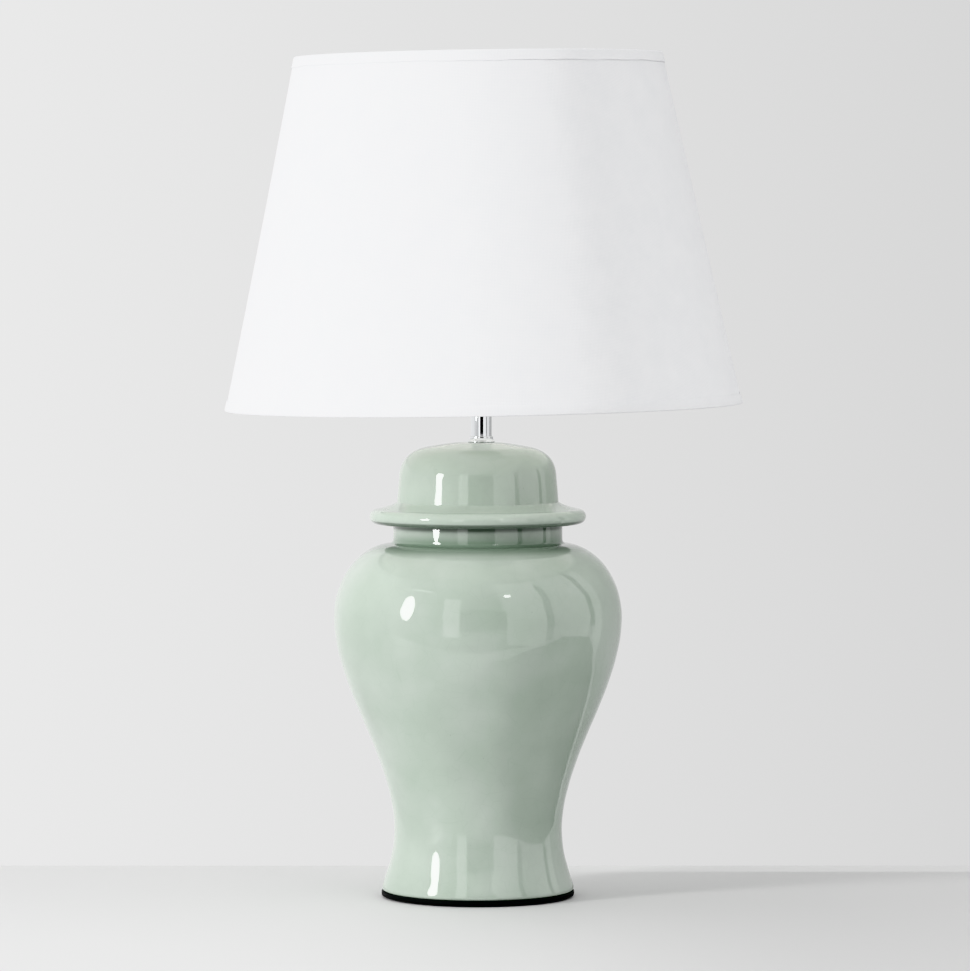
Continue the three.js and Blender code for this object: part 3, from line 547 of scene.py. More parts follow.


# the glaze runs thin over the lid's rim; a green belt in the throat is painted shade and painted
# reflection of the flange above it, and the dark belt where lid and jar meet is painted shade under the
# flange
tinted_and_shaded = body_colour
for low, high, most, tint in GLAZE_THINNING_AND_SHADE_BELTS:
    tinted_and_shaded = node(tree, "MixRGB", {0: belt(low, high, most), 1: tinted_and_shaded, 2: linear(tint)})
cells = {"Vector": place, "Scale": 1000 / CRACKLE_CELL_MM}
edges = node(tree, "TexVoronoi", cells, feature="DISTANCE_TO_EDGE")
line_share = CRACKLE_LINE_MM / CRACKLE_CELL_MM
hairline = node(tree, "MapRange", {
    "Value": edges, "From Min": line_share * 0.4, "From Max": line_share, "To Min": 0.07, "To Max": 0.0,
})
crackled = node(tree, "MixRGB", {0: hairline, 1: tinted_and_shaded, 2: linear(CRACKLE_COLOUR)})
dots = node(tree, "TexVoronoi", {"Vector": place, "Scale": 1000 / SPECK_CELL_MM})
speck_share = SPECK_RADIUS_MM / SPECK_CELL_MM
specks = node(tree, "MapRange", {
    "Value": dots, "From Min": speck_share * 0.6, "From Max": speck_share, "To Min": 0.55, "To Max": 0.0,
})
specked = node(tree, "MixRGB", {0: specks, 1: crackled, 2: linear(SPECK_COLOUR)})
tree.links.new(specked.outputs[0], shader.inputs["Base Color"])
wash = node(tree, "TexNoise", {"Vector": place, "Scale": 1000 / WASH_MM, "Detail": 2.0})
gloss = node(tree, "MapRange", {"Value": wash, "To Min": 0.03, "To Max": 0.08})
tree.links.new(gloss.outputs[0], shader.inputs["Roughness"])
ripple = node(tree, "Bump", {"Height": wash, "Strength": 0.22, "Distance": 0.0004})
tree.links.new(ripple.outputs[0], shader.inputs["Normal"])

foot_radius = highest("ceramic_foot").x
waist_level = highest("ceramic_foot").z
belly_radius = highest("ceramic_body").x
belly_level = lowest("ceramic_shoulder").z
lid_level = highest("ceramic_neck").z
recess_ceiling = foot_level + RECESS_RISE
stem = (lowest("neck_tube") + highest("neck_tube")) / 2
stem_axis = (stem.x, 0.0)
neck_level = lid_level - NECK_RISE
neck_bore = NECK_RADIUS - JAR_WALL

flare_start = foot_level + FOOT_EDGE
flare_rise = waist_level - flare_start
flare_width = foot_radius - WAIST_RADIUS
pull = (belly_level - waist_level) / 3
shoulder_width = belly_radius - NECK_RADIUS
shoulder_rise = neck_level - belly_level
shoulder_end = acos(NECK_FILLET / shoulder_width)
fillet_level = belly_level + shoulder_rise * sin(shoulder_end)
fillet_top = fillet_level + NECK_FILLET
floor_top = recess_ceiling + JAR_FLOOR
inside_waist = WAIST_RADIUS - JAR_WALL
inside_belly = belly_radius - JAR_WALL

outline = Outline([(0, recess_ceiling)])
outline += eased([
    (0, recess_ceiling), (RECESS_RADIUS, recess_ceiling), (RECESS_RADIUS, foot_level),
    (foot_radius - FOOT_EDGE, foot_level),
], 1.0)[1:]
outline.bend((foot_radius, foot_level), (foot_radius, flare_start), 8)
outline.sweep(
    (foot_radius - FLARE_LEAN[0] * flare_width, flare_start + FLARE_LEAN[1] * flare_rise),
    (WAIST_RADIUS, waist_level - FLARE_LEAN[2] * flare_rise), (WAIST_RADIUS, waist_level), 24,
)
outline.sweep(
    (WAIST_RADIUS, waist_level + pull), (belly_radius, belly_level - pull),
    (belly_radius, belly_level), 60,
)
outline += arc((NECK_RADIUS, belly_level), (shoulder_width, shoulder_rise), 0, shoulder_end, 48)[1:]
outline.bend((NECK_RADIUS, fillet_level), (NECK_RADIUS, fillet_top), 8)
outline += eased([
    (NECK_RADIUS, fillet_top), (NECK_RADIUS, lid_level), (neck_bore, lid_level),
    (neck_bore, neck_level - JAR_WALL),
], 1.2)[4:-4]
outline += arc(
    (neck_bore, belly_level), (inside_belly - neck_bore, shoulder_rise - JAR_WALL), pi / 2, 0, 24,
)
outline += sweep(
    (inside_belly, belly_level), (inside_belly, belly_level - pull), (inside_waist, waist_level + pull),
    (inside_waist, waist_level), 24,
)
outline += [(inside_waist, floor_top + INSIDE_FILLET)]
outline.bend((inside_waist, floor_top), (inside_waist - INSIDE_FILLET, floor_top), 4)
outline += [(0, floor_top)]
jar = turned("celadon_jar", outline, celadon, JAR_SEGMENTS, reshape=thrown)
inlet_level = (lowest("cord_inlet").z + highest("cord_inlet").z) / 2
cut(
    jar,
    drill(INLET_HOLE, (inlet_level, RECESS_RADIUS - 10), foot_radius + 5, across=True),
    drill(ROD_HOLE, (stem.x, recess_ceiling - 1), floor_top + 1),
)
fitted(
    jar, "lamp", "celadon_glaze", "ceramic_foot", "ceramic_body", "ceramic_shoulder", "ceramic_neck",
)

# ---- Cord inlet ----
# A moulded rubber bush pushed through the back of the foot, with a flange outside, where a
# cord would come in.
INLET_BORE = 3.6
INLET_RADIUS = 5.2
INLET_FLANGE = 7.5
INLET_FLANGE_THICKNESS = 1.6

# moulded rubber: dull black, faintly bloomed
moulded_rubber = finish(
    "moulded_black_rubber", 1.11, {"Detail": 4.0}, ("#1a1a1a", "#262726"), relief=(0.3, 0.0002),
    Roughness=0.7, IOR=1.52,
)

inlet_in, inlet_out = lowest("cord_inlet").y, highest("cord_inlet").y
flange_face = inlet_out - INLET_FLANGE_THICKNESS
inlet = turned(
    "cord_bush",
    eased([
        (INLET_BORE, inlet_in), (INLET_RADIUS, inlet_in), (INLET_RADIUS, flange_face),
        (INLET_FLANGE, flange_face), (INLET_FLANGE, inlet_out), (INLET_BORE, inlet_out),
    ], 0.6),
    moulded_rubber, 48,
)
inlet.data.transform(
    Matrix.Translation((0, 0, inlet_level / 1000)) @ Matrix.Rotation(-pi / 2, 4, "X")
)
fitted(inlet, "lamp", "black_rubber", "cord_inlet")

# ---- Lid ----
# A domed lid in the same stoneware and glaze, with a thick rounded flange that overhangs the
# neck, and a spigot that drops inside it.
DOME_RADIUS = 62.4
DOME_TAPER = 1.5
DOME_WALL_RISE = 35.5
DOME_CORNER_RADIUS = 40.0
DOME_CORNER_DROP = 3.6
CROWN_RADIUS = 13.6
FLANGE_ROUND = 6.0
FLANGE_THICKNESS = 11.4
FLANGE_RISE = 15.0
LID_WALL = 6.0
LID_SPIGOT_DEPTH = 10.0

flange_radius = highest("ceramic_lid").x
crown_level = highest("ceramic_lid").z
seat = lid_level + SEAT_GAP
rim = flange_radius - FLANGE_ROUND
wall_foot = lid_level + FLANGE_RISE + 2
wall_top = lid_level + DOME_WALL_RISE
dome_top = DOME_RADIUS - DOME_TAPER
corner_level = crown_level - DOME_CORNER_DROP
inside = DOME_RADIUS - LID_WALL - 2
inside_top = inside - DOME_TAPER
spigot = neck_bore - 1
half_rim = FLANGE_THICKNESS / 2

outline = Outline([(0, crown_level - LID_WALL)])
outline.bend(
    (inside_top / 2, crown_level - LID_WALL),
    (DOME_CORNER_RADIUS - 5, corner_level - LID_WALL), 12,
)
outline.bend((inside_top, corner_level - LID_WALL), (inside_top, wall_top - LID_WALL), 12)
outline += eased([
    (inside_top, wall_top - LID_WALL), (inside - 2, seat - LID_SPIGOT_DEPTH),
    (spigot, seat - LID_SPIGOT_DEPTH), (spigot, seat), (rim, seat),
], 1.0)[4:-4]
outline += arc((rim, seat + half_rim), (FLANGE_ROUND, half_rim), -pi / 2, pi / 2, 24)
outline.bend((DOME_RADIUS + 3, lid_level + FLANGE_RISE - 0.6), (DOME_RADIUS, wall_foot), 12)
outline += [
    (DOME_RADIUS - DOME_TAPER * share, wall_foot + (wall_top - wall_foot) * share)
    for share in (0.25, 0.5, 0.75, 1.0)
]
outline.bend((dome_top - 0.6, corner_level - 4.2), (DOME_CORNER_RADIUS, corner_level), 32)
outline.bend((DOME_CORNER_RADIUS / 2, crown_level), (CROWN_RADIUS, crown_level), 12)
outline += [(0, crown_level)]
lid = turned("celadon_lid", outline, celadon, JAR_SEGMENTS, reshape=thrown)
cut(lid, drill(ROD_HOLE, (stem.x, crown_level - LID_WALL - 3), crown_level + 2))
fitted(lid, "lamp", "celadon_glaze", "ceramic_lid")

# ---- Rod and its clamping parts ----
# A zinc-plated steel rod clamps jar, lid and neck together, with a nut, a washer and a rubber
# cushion hidden in the foot. They keep the solids that hold the lamp together.

# zinc plate: a bluish grey metal in small cloudy patches
zinc_steel = finish(
    "zinc_plated_steel", 2.0, {}, ("#b4b7ba", "#c9cccd"), texture="TexVoronoi", dull=(0.28, 0.42),
    Metallic=1.0, Roughness=0.35,
)


def refinish(name, material):
    """Gives a carried-over solid its finish."""
    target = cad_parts[name]
    target.data.materials.clear()
    target.data.materials.append(material)


for name in ("threaded_rod", "rod_nut", "steel_washer"):
    refinish(name, zinc_steel)
refinish("rubber_cushion", moulded_rubber)

# ---- Neck: collar and tube ----
# A bell-mouthed collar sits on the lid's crown and a short tube stands in it. Both are spun
# brass, polished and chromed, so they mirror the window, the panes and the dark between them.
TUBE_RADIUS = 8.0
TUBE_WALL = 1.2
COLLAR_LIP = 9.0
COLLAR_FOOT = 10.4
COLLAR_FLOOR = 1.4
ROD_CLEARANCE = 5.3
TUBE_GAP = 0.12
TURN_MM = 0.6


def band_scale(period):
    """The wave texture's scale at which its bands lie a period apart, in millimetres."""
    return pi / 10 / (period / 1000)


# chromium plate: a bright cold mirror with faint turning marks
chrome, tree, shader = surface("polished_chrome", Metallic=1.0, Roughness=0.06)
marks = node(tree, "TexWave", {
    "Vector": node(tree, "TexCoord").outputs["Object"], "Scale": band_scale(TURN_MM), "Distortion": 0.4,
}, bands_direction="Z")
tone = node(tree, "MixRGB", {0: marks, 1: linear("#dfe1e3"), 2: linear("#e9ebec")})
tree.links.new(tone.outputs[0], shader.inputs["Base Color"])
haze = node(tree, "MapRange", {"Value": marks, "To Min": 0.04, "To Max": 0.08})
tree.links.new(haze.outputs[0], shader.inputs["Roughness"])

collar_low, collar_top = levels("neck_collar")
outline = Outline([(ROD_CLEARANCE, collar_low)] + eased([
    (ROD_CLEARANCE, collar_low), (COLLAR_FOOT, collar_low), (COLLAR_FOOT, collar_low + 0.8),
    (COLLAR_FOOT - 0.3, collar_low + 1.1),
], 0.3)[4:-4])
outline += bend(
    (COLLAR_FOOT - 0.3, collar_low + 1.1), (COLLAR_LIP, collar_low + 1.7),
    (COLLAR_LIP, collar_top - 0.4), 12,
)
outline.bend((COLLAR_LIP, collar_top), (COLLAR_LIP - 0.35, collar_top), 4)
outline += [
    (TUBE_RADIUS + TUBE_GAP, collar_top), (TUBE_RADIUS + TUBE_GAP, collar_low + COLLAR_FLOOR - SEAT_GAP),
    (ROD_CLEARANCE, collar_low + COLLAR_FLOOR - SEAT_GAP),
]
collar = turned("chrome_collar", outline, chrome, 128, stem_axis)
fitted(collar, "lamp", "chrome_plate", "neck_collar")

tube_low, tube_top = levels("neck_tube")
tube = turned(
    "chrome_tube",
    eased([
        (TUBE_RADIUS - TUBE_WALL, tube_low), (TUBE_RADIUS, tube_low),
        (TUBE_RADIUS, tube_top), (TUBE_RADIUS - TUBE_WALL, tube_top),
    ], 0.25),
    chrome, 128, stem_axis,
)
fitted(tube, "lamp", "chrome_plate", "neck_tube")

# ---- Lampholder ----
# A threaded-entry lampholder in white moulded thermoplastic: a ribbed cap on the rod, and a
# body with a flange and a long thread that carries the shade ring.
CAP_RADIUS = 20.4
CAP_ENTRY_RADIUS = 8.6
CAP_ENTRY_HEIGHT = 8.0
CAP_SHOULDER = 6.0
CAP_WALL = 2.6
CAP_RIBS = 36
CAP_RIB_DEPTH = 0.3
SLOT_REACH = 0.04
SLOT_GAP = 0.0004
LOCK_HOLE = 1.8
HOLDER_FLANGE = 26.0
HOLDER_THREAD = 19.75
HOLDER_BORE = 17.2
HOLDER_LIP = 14.6
RING_PITCH = 2.5
THREAD_DEPTH = 0.8

# moulded thermoplastic: satin white with a fine spark-eroded texture
white_plastic = finish(
    "moulded_white_thermoplastic", 0.714, {"Detail": 3.0}, ("#ecebe6", "#f3f2ee"), dull=(0.32, 0.46),
    relief=(0.15, 0.0001), Roughness=0.38, IOR=1.49,
)


def thread_wave(angle, height, pitch):
    """A right-hand thread's wave at a point: 1 on a crest and -1 in a root."""
    return cos(2 * pi * height / pitch - angle)


def stack(radius, start, end, step):
    """Evenly spaced outline points at one radius, for a stretch that carries a thread."""
    count = max(2, round(abs(end - start) / step))
    return [(radius, start + (end - start) * i / count) for i in range(count + 1)]


cap_low, cap_top = levels("holder_cap")
cap_shoulder_low = cap_low + CAP_ENTRY_HEIGHT - 1.4
cap_shoulder_top = cap_low + CAP_ENTRY_HEIGHT + CAP_SHOULDER


def ribbed(angle, radius, height):
    """Shallow upright grip ribs round the cap's side, fading out at both ends."""
    if radius < CAP_RADIUS - 0.1 or not cap_shoulder_top < height < cap_top - 0.5:
        return radius, height
    fade = min(1, (height - cap_shoulder_top) / 1.5, (cap_top - 0.5 - height) / 1.5)
    return radius - CAP_RIB_DEPTH * fade * (0.5 + 0.5 * cos(CAP_RIBS * angle)), height


inner_level = cap_low + CAP_ENTRY_HEIGHT + 1
outline = Outline([(ROD_CLEARANCE, cap_low), (CAP_ENTRY_RADIUS - 0.5, cap_low)])
outline.bend((CAP_ENTRY_RADIUS, cap_low), (CAP_ENTRY_RADIUS, cap_low + 0.5), 3)
outline += [(CAP_ENTRY_RADIUS, cap_shoulder_low - 0.5)]
outline.bend(
    (CAP_ENTRY_RADIUS, cap_shoulder_low),
    (CAP_ENTRY_RADIUS + 1.5, cap_shoulder_low + 0.1), 3,
)
outline.bend((CAP_RADIUS, cap_shoulder_low + 0.1), (CAP_RADIUS, cap_shoulder_top), 12)
outline += stack(CAP_RADIUS, cap_shoulder_top, cap_top, 0.75)[1:]
outline += [
    (CAP_RADIUS - CAP_WALL, cap_top), (CAP_RADIUS - CAP_WALL, inner_level + 4),
    (CAP_RADIUS - CAP_WALL - 4, inner_level), (ROD_CLEARANCE, inner_level),
]
cap = turned("holder_cap_moulding", outline, white_plastic, 216, stem_axis, ribbed)
bar_low, bar_high = lowest("switch_bar"), highest("switch_bar")
slot_tool = box_mesh(
    "slot_tool",
    (stem.x / 1000 - SLOT_REACH, bar_low.y / 1000 - SLOT_GAP, bar_low.z / 1000 - SLOT_GAP),
    (stem.x / 1000 + SLOT_REACH, bar_high.y / 1000 + SLOT_GAP, bar_high.z / 1000 + SLOT_GAP),
)
lock_tool = drill(LOCK_HOLE, (cap_low + CAP_ENTRY_HEIGHT / 2, 0), CAP_ENTRY_RADIUS + 2, across=True)
lock_tool.data.transform(Matrix.Translation((stem.x / 1000, 0, 0)))
cut(cap, slot_tool, lock_tool)
fitted(cap, "lamp", "white_plastic", "holder_cap")
refinish("holder_lock_screw", zinc_steel)

flange_level, holder_top = levels("holder_body")
fitter_seat = flange_level + 3


def holder_thread(angle, radius, height):
    """The thread outside the body: it runs out at the flange and at the rim."""
    if radius < HOLDER_THREAD - 0.01 or height <= fitter_seat or radius > HOLDER_THREAD + 0.01:
        return radius, height
    fade = max(0, min(1, (height - fitter_seat - 0.8) / 1.5, (holder_top - 1 - height) / 1.0))
    return radius - THREAD_DEPTH * fade * (0.5 - 0.5 * thread_wave(angle, height, RING_PITCH)), height


outline = eased([
    (HOLDER_BORE, flange_level), (HOLDER_FLANGE, flange_level), (HOLDER_FLANGE, fitter_seat),
    (HOLDER_THREAD + 0.02, fitter_seat),
], 0.5)[2:-2]
outline += [(HOLDER_THREAD + 0.02, fitter_seat)]
outline += stack(HOLDER_THREAD, fitter_seat + 0.01, holder_top - 1, RING_PITCH / 10)
outline += [
    (HOLDER_THREAD - 1, holder_top), (HOLDER_LIP, holder_top), (HOLDER_LIP, holder_top - 2),
    (HOLDER_BORE, holder_top - 2), (HOLDER_BORE, flange_level),
]
body = turned("holder_body_moulding", outline, white_plastic, 120, stem_axis, holder_thread)
fitted(body, "lamp", "white_plastic", "holder_body")

# ---- Lampholder's inside ----
# A porcelain cup holds a nickel-plated screw shell, a sprung centre contact and two brass
# terminal screws. Only the shell shows, so only the shell is redrawn, with its rolled thread.
BULB_PITCH = 3.629
SHELL_MEAN = 13.2
SHELL_WAVE = 0.45
SHELL_GAUGE = 0.35

# unglazed porcelain: hard, dense and nearly matt
porcelain = finish(
    "unglazed_porcelain", 1.43, {"Detail": 4.0}, ("#e6e2d8", "#f0ede6"), Roughness=0.5, IOR=1.55,
)
# bright nickel: a warm grey mirror, softened by drawing
nickel = finish(
    "bright_nickel", 3.33, {"Detail": 5.0}, ("#bdb8ab", "#d2cec3"), dull=(0.14, 0.3), Metallic=1.0,
    Roughness=0.2,
)
# pressed brass, lightly tarnished in patches
brass = finish(
    "pressed_brass", 4.55, {"Detail": 5.0}, ("#c8a24e", "#dcbd74"), Metallic=1.0, Roughness=0.3,
)

refinish("holder_insulator", porcelain)
for name in ("terminal_screw_1", "terminal_screw_2", "centre_contact"):
    refinish(name, brass)

shell_low, shell_top = levels("screw_shell")


def rolled(angle, radius, height):
    """A thread rolled into thin sheet, so that it shows on both faces."""
    return radius + SHELL_WAVE * thread_wave(angle, height, BULB_PITCH), height


shell_inside = stack(SHELL_MEAN, shell_top, shell_low, BULB_PITCH / 12)
shell_outside = [(SHELL_MEAN + SHELL_GAUGE, height) for _, height in reversed(shell_inside)]
shell = turned("rolled_screw_shell", shell_inside + shell_outside, nickel, 72, stem_axis, rolled)
fitted(shell, "lamp", "nickel_plate", "screw_shell")

# ---- Switch bar ----
# A push-bar in the holder's plastic goes right through the cap, a little soft at its edges.
BAR_EASE = 0.0005

refinish("switch_bar", white_plastic)
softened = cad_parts["switch_bar"].modifiers.new("soft_edges", "BEVEL")
softened.width = BAR_EASE
softened.segments = 3

# ---- Slip washer and shade ring ----
# A plain washer lies on the shade's fitter, and a ribbed ring screws down on it along the
# holder's thread. Both are moulded in the holder's plastic.
RING_RIBS = 20
RING_RIB_DEPTH = 0.8
RING_MEAN = 19.9
RING_WAVE = 0.35
SLIP_BORE = 20.2


def knurled(angle, radius, height):
    """Grip ribs round the outside, and the thread in the bore."""
    if radius < RING_MEAN + 0.3:
        return radius + RING_WAVE * thread_wave(angle, height, RING_PITCH), height
    if radius < ring_radius - 0.01:
        return radius, height
    return radius - RING_RIB_DEPTH * (0.5 - 0.5 * cos(RING_RIBS * angle)) ** 2, height


slip_low, slip_top = levels("slip_washer")
slip_radius = radius_of("slip_washer")
slip = turned(
    "slip_washer_moulding",
    eased([
        (SLIP_BORE, slip_low), (slip_radius, slip_low), (slip_radius, slip_top), (SLIP_BORE, slip_top),
    ], 0.3),
    white_plastic, 96, stem_axis,
)
fitted(slip, "slip_washer", "white_plastic", "slip_washer")

ring_low, ring_top = levels("shade_ring")
ring_radius = radius_of("shade_ring")
outline = Outline([
    (RING_MEAN + 1.2, ring_low), (ring_radius - 1.2, ring_low), (ring_radius, ring_low + 0.8),
    (ring_radius, ring_top - 1.2),
])
outline.bend((ring_radius - 0.2, ring_top), (ring_radius - 1.6, ring_top), 4)
outline += [(RING_MEAN + 1.2, ring_top)]
outline += stack(RING_MEAN, ring_top - 0.5, ring_low + 0.5, RING_PITCH / 10)
ring = turned("knurled_shade_ring", outline, white_plastic, 200, stem_axis, knurled)
fitted(ring, "shade_ring", "white_plastic", "shade_ring")

# ---- Shade frame: fitter ring, spider arms and wire rings ----
# A pressed steel ring drops over the holder's thread. Three wires brazed to it dip to the
# bottom wire ring; a second ring holds the top. All are powder-coated white.
LEAN_LEFT = radians(0.9)
LEAN_FORWARD = radians(0.45)
SHADE_BOTTOM_RADIUS = 200.0
SHADE_TOP_RADIUS = 142.3
RIM_LOW = -35.0
RIM_HIGH = 236.0
WIRE_RADIUS = 1.6
WIRE_INSET = 4.8
WIRE_LIFT = 2.5
FITTER_BORE = 21.4
ARM_TURNS = [pi / 2 + 2 * pi * i / 3 for i in range(3)]
BRAZE_SWELL = 0.3
BRAZE_LENGTH = 3.0
ARM_SHELF = 30.0
ARM_LEAD = 18.0
ARM_DIP = 0.36

# powder coat: a thick satin skin with a faint orange peel
powder_coat = finish(
    "white_powder_coat", 1.11, {"Detail": 2.0}, ("#e7e7e4", "#f1f1ee"), relief=(0.25, 0.0002),
    Roughness=0.4, IOR=1.5,
)

fitter_low, fitter_high = lowest("fitter_ring"), highest("fitter_ring")
fitter_radius = radius_of("fitter_ring")
fitter_axis = ((fitter_low.x + fitter_high.x) / 2, 0.0)
shade_frame = (
    Matrix.Translation((fitter_axis[0] / 1000, 0, fitter_low.z / 1000))
    @ Matrix.Rotation(LEAN_FORWARD, 4, "X") @ Matrix.Rotation(-LEAN_LEFT, 4, "Y")
)


def shade_radius(height):
    """The shade's outer radius at a height above its fitter."""
    share = (height - RIM_LOW) / (RIM_HIGH - RIM_LOW)
    return SHADE_BOTTOM_RADIUS + share * (SHADE_TOP_RADIUS - SHADE_BOTTOM_RADIUS)


def on_shade(made, slot, *nodes):
    """Puts a piece drawn about the shade's own axis in its place."""
    made.data.transform(shade_frame)
    return fitted(made, "shade", slot, *nodes)


fitter = turned(
    "pressed_fitter_ring",
    eased([
        (FITTER_BORE, fitter_low.z), (FITTER_BORE + 2, fitter_low.z),
        (FITTER_BORE + 2.4, fitter_low.z + 0.5), (fitter_radius - 2.4, fitter_low.z + 0.5),
        (fitter_radius - 2, fitter_low.z), (fitter_radius, fitter_low.z),
        (fitter_radius, fitter_high.z), (FITTER_BORE, fitter_high.z),
    ], 0.5),
    powder_coat, 128, fitter_axis,
)
fitted(fitter, "shade", "white_enamel", "fitter_ring")


def wire_loop(height):
    """The outline of a wire ring at a height in the shade."""
    centre = (shade_radius(height) - WIRE_INSET, height)
    return arc(centre, (WIRE_RADIUS, WIRE_RADIUS), 0, 2 * pi, 16)[:-1]


for name, height in (("bottom_wire", RIM_LOW + WIRE_LIFT), ("top_wire", RIM_HIGH - WIRE_LIFT)):
    loop = turned(name + "_hoop", wire_loop(height), powder_coat, 160)
    on_shade(loop, "white_enamel", name + "_ring")


def bent_wire(name, knots, radius, sides=14, steps=10):
    """A wire through knots in the X-Z plane, thicker at both ends where it is brazed."""
    path = []
    for i in range(len(knots) - 1):
        before, after = knots[max(i - 1, 0)], knots[min(i + 2, len(knots) - 1)]
        out = (knots[i + 1] - before) / (2 if i else 1) / 3
        back = (after - knots[i]) / (2 if i + 2 < len(knots) else 1) / 3
        path += sweep(knots[i], knots[i] + out, knots[i + 1] - back, knots[i + 1], steps)
    path = [knots[0]] + [Vector(point) for point in path]
    points, faces = [], []
    for i, at in enumerate(path):
        along = (path[min(i + 1, len(path) - 1)] - path[max(i - 1, 0)]).normalized()
        up = Vector((-along.z, 0, along.x))
        near = min((at - path[0]).length, (at - path[-1]).length)
        thick = radius * (1 + BRAZE_SWELL * exp(-(near / BRAZE_LENGTH) ** 2))
        for k in range(sides):
            turn = 2 * pi * k / sides
            points.append((at + thick * (cos(turn) * up + sin(turn) * Vector((0, 1, 0)))) / 1000)
    for i in range(len(path) - 1):
        for k in range(sides):
            j = (k + 1) % sides
            faces.append((i * sides + k, i * sides + j, (i + 1) * sides + j, (i + 1) * sides + k))
    last = (len(path) - 1) * sides
    faces += [tuple(range(sides)), tuple(range(last, last + sides))]
    return tidy(added(name, points, faces, powder_coat), 50)


wire_level = RIM_LOW + WIRE_LIFT
arm_end = shade_radius(wire_level) - WIRE_INSET - WIRE_RADIUS
arm_start = fitter_radius + 0.2
for number, turn in enumerate(ARM_TURNS, 1):
    knots = [
        Vector((arm_start, 0, 1)), Vector((arm_start + ARM_SHELF, 0, 0)),
        Vector(((arm_start + arm_end) / 2, 0, 1 + ARM_DIP * RIM_LOW)),
        Vector((arm_end - ARM_LEAD, 0, wire_level + 4)), Vector((arm_end, 0, wire_level)),
    ]
    arm = bent_wire(f"spider_wire_{number}", knots, WIRE_RADIUS)
    arm.data.transform(Matrix.Rotation(turn, 4, "Z"))
    on_shade(arm, "white_enamel", f"spider_arm_{number}")

# ---- Shade: cover, liner and hems ----
# White plain-weave fabric laminated to a styrene liner, cut flat as part of a ring, rolled
# into a cone and glued where its ends overlap at the back. A tape of the same fabric is
# folded over each rim and its wire ring.
COVER_INSET = 0.9
COVER_GAUGE = 0.55
LINER_INSET = 2.3
LINER_GAUGE = 0.5
SEAM_OVERLAP = radians(4)
SEAM_STEP = 0.6
SHEET_COLUMNS = 240
SHEET_ROWS = 20
RIM_MARGIN = 0.9
HEM_HEIGHT = 8.0
HEM_GAUGE = 0.45
HEM_OUTSET = 0.1
HEM_INSET = 6.7
SLIT_LOW = (-0.012, -0.0023, -0.0019)
SLIT_HIGH = (0, 0.0023, 0.012)
# real threads lie 0.5 mm apart, which would blur away, so they are drawn coarser
THREAD_MM = 1.1
SLUB_MM = 26.0
FABRIC_WHITE = "#fbfbfc"
FABRIC_SHADOW = "#f0f1f3"

slope = atan2(SHADE_BOTTOM_RADIUS - SHADE_TOP_RADIUS, RIM_HIGH - RIM_LOW)


def unrolled(angle, radius):
    """A point of the cone laid out flat, in metres."""
    distance = radius / sin(slope) / 1000
    return distance * sin(angle * sin(slope)), distance * cos(angle * sin(slope))


def waved(angle, height):
    """How far the sheet stands out of a true cone: the pull between the two rings isn't even."""
    between = sin(pi * (height - RIM_LOW) / (RIM_HIGH - RIM_LOW))
    return 0.35 * between * sin(5 * angle + 0.8) - 0.25 * between


def rolled_sheet(name, inset, gauge, material):
    """A cone-shaped sheet with its ends overlapped at the back, flat pattern kept as its map."""
    low, high = RIM_LOW + RIM_MARGIN, RIM_HIGH - RIM_MARGIN
    span = 2 * pi + SEAM_OVERLAP
    side = [low + (high - low) * k / SHEET_ROWS for k in range(SHEET_ROWS + 1)]
    loop = [(0.0, z) for z in side] + [(gauge, z) for z in reversed(side)]
    points, flats, faces = [], [], []
    for i in range(SHEET_COLUMNS + 1):
        along = span * i / SHEET_COLUMNS
        angle = pi / 2 + along
        tuck = SEAM_STEP * max(0.0, min(1.0, 2 - along / SEAM_OVERLAP))
        for depth, z in loop:
            radius = shade_radius(z) - inset - depth - tuck + waved(angle, z)
            points.append(Vector((radius * cos(angle), radius * sin(angle), z)) / 1000)
            flats.append(unrolled(along - span / 2, radius))
    around = len(loop)
    for i in range(SHEET_COLUMNS):
        for k in range(around):
            j = (k + 1) % around
            a, b = i * around, (i + 1) * around
            faces.append((a + k, a + j, b + j, b + k))
    for start in (0, SHEET_COLUMNS * around):
        for k in range(SHEET_ROWS):
            faces.append((start + k, start + k + 1, start + around - 2 - k, start + around - 1 - k))
    made = added(name, points, faces, material)
    layout = made.data.uv_layers.new(name="flat_pattern")
    for spot, corner in zip(layout.data, made.data.loops):
        spot.uv = flats[corner.vertex_index]
    return tidy(made)


def woven(name):
    """Plain-weave white cotton: threads over and under, thicker and thinner along their length."""
    made, tree, shader = surface(name, Roughness=0.95, IOR=1.45, Sheen_Weight=0.15, Sheen_Roughness=0.6)
    flat = node(tree, "TexCoord").outputs["UV"]
    bands = {"Vector": flat, "Scale": band_scale(THREAD_MM), "Distortion": 0.6}
    warp = node(tree, "TexWave", bands, bands_direction="X")
    weft = node(tree, "TexWave", bands, bands_direction="Y")
    crossing = node(tree, "Math", {0: warp.outputs["Fac"], 1: weft.outputs["Fac"]}, operation="MULTIPLY")
    slub = node(tree, "TexNoise", {
        "Vector": flat, "Scale": 1000 / SLUB_MM, "Detail": 6.0, "Roughness": 0.7,
    })
    height = node(tree, "Math", {0: crossing, 1: slub}, operation="ADD")
    # the weave's low dips take the shadow tone, a painted shade, and the slubs vary the tone along the
    # threads
    dip_shade_and_slub_tone = node(tree, "MapRange", {"Value": height, "From Min": 0.3, "From Max": 1.2})
    tone = node(tree, "MixRGB", {0: dip_shade_and_slub_tone, 1: linear(FABRIC_SHADOW), 2: linear(FABRIC_WHITE)})
    tree.links.new(tone.outputs[0], shader.inputs["Base Color"])
    lay = node(tree, "Bump", {"Height": height, "Strength": 0.35, "Distance": 0.0002})
    tree.links.new(lay.outputs[0], shader.inputs["Normal"])
    return made
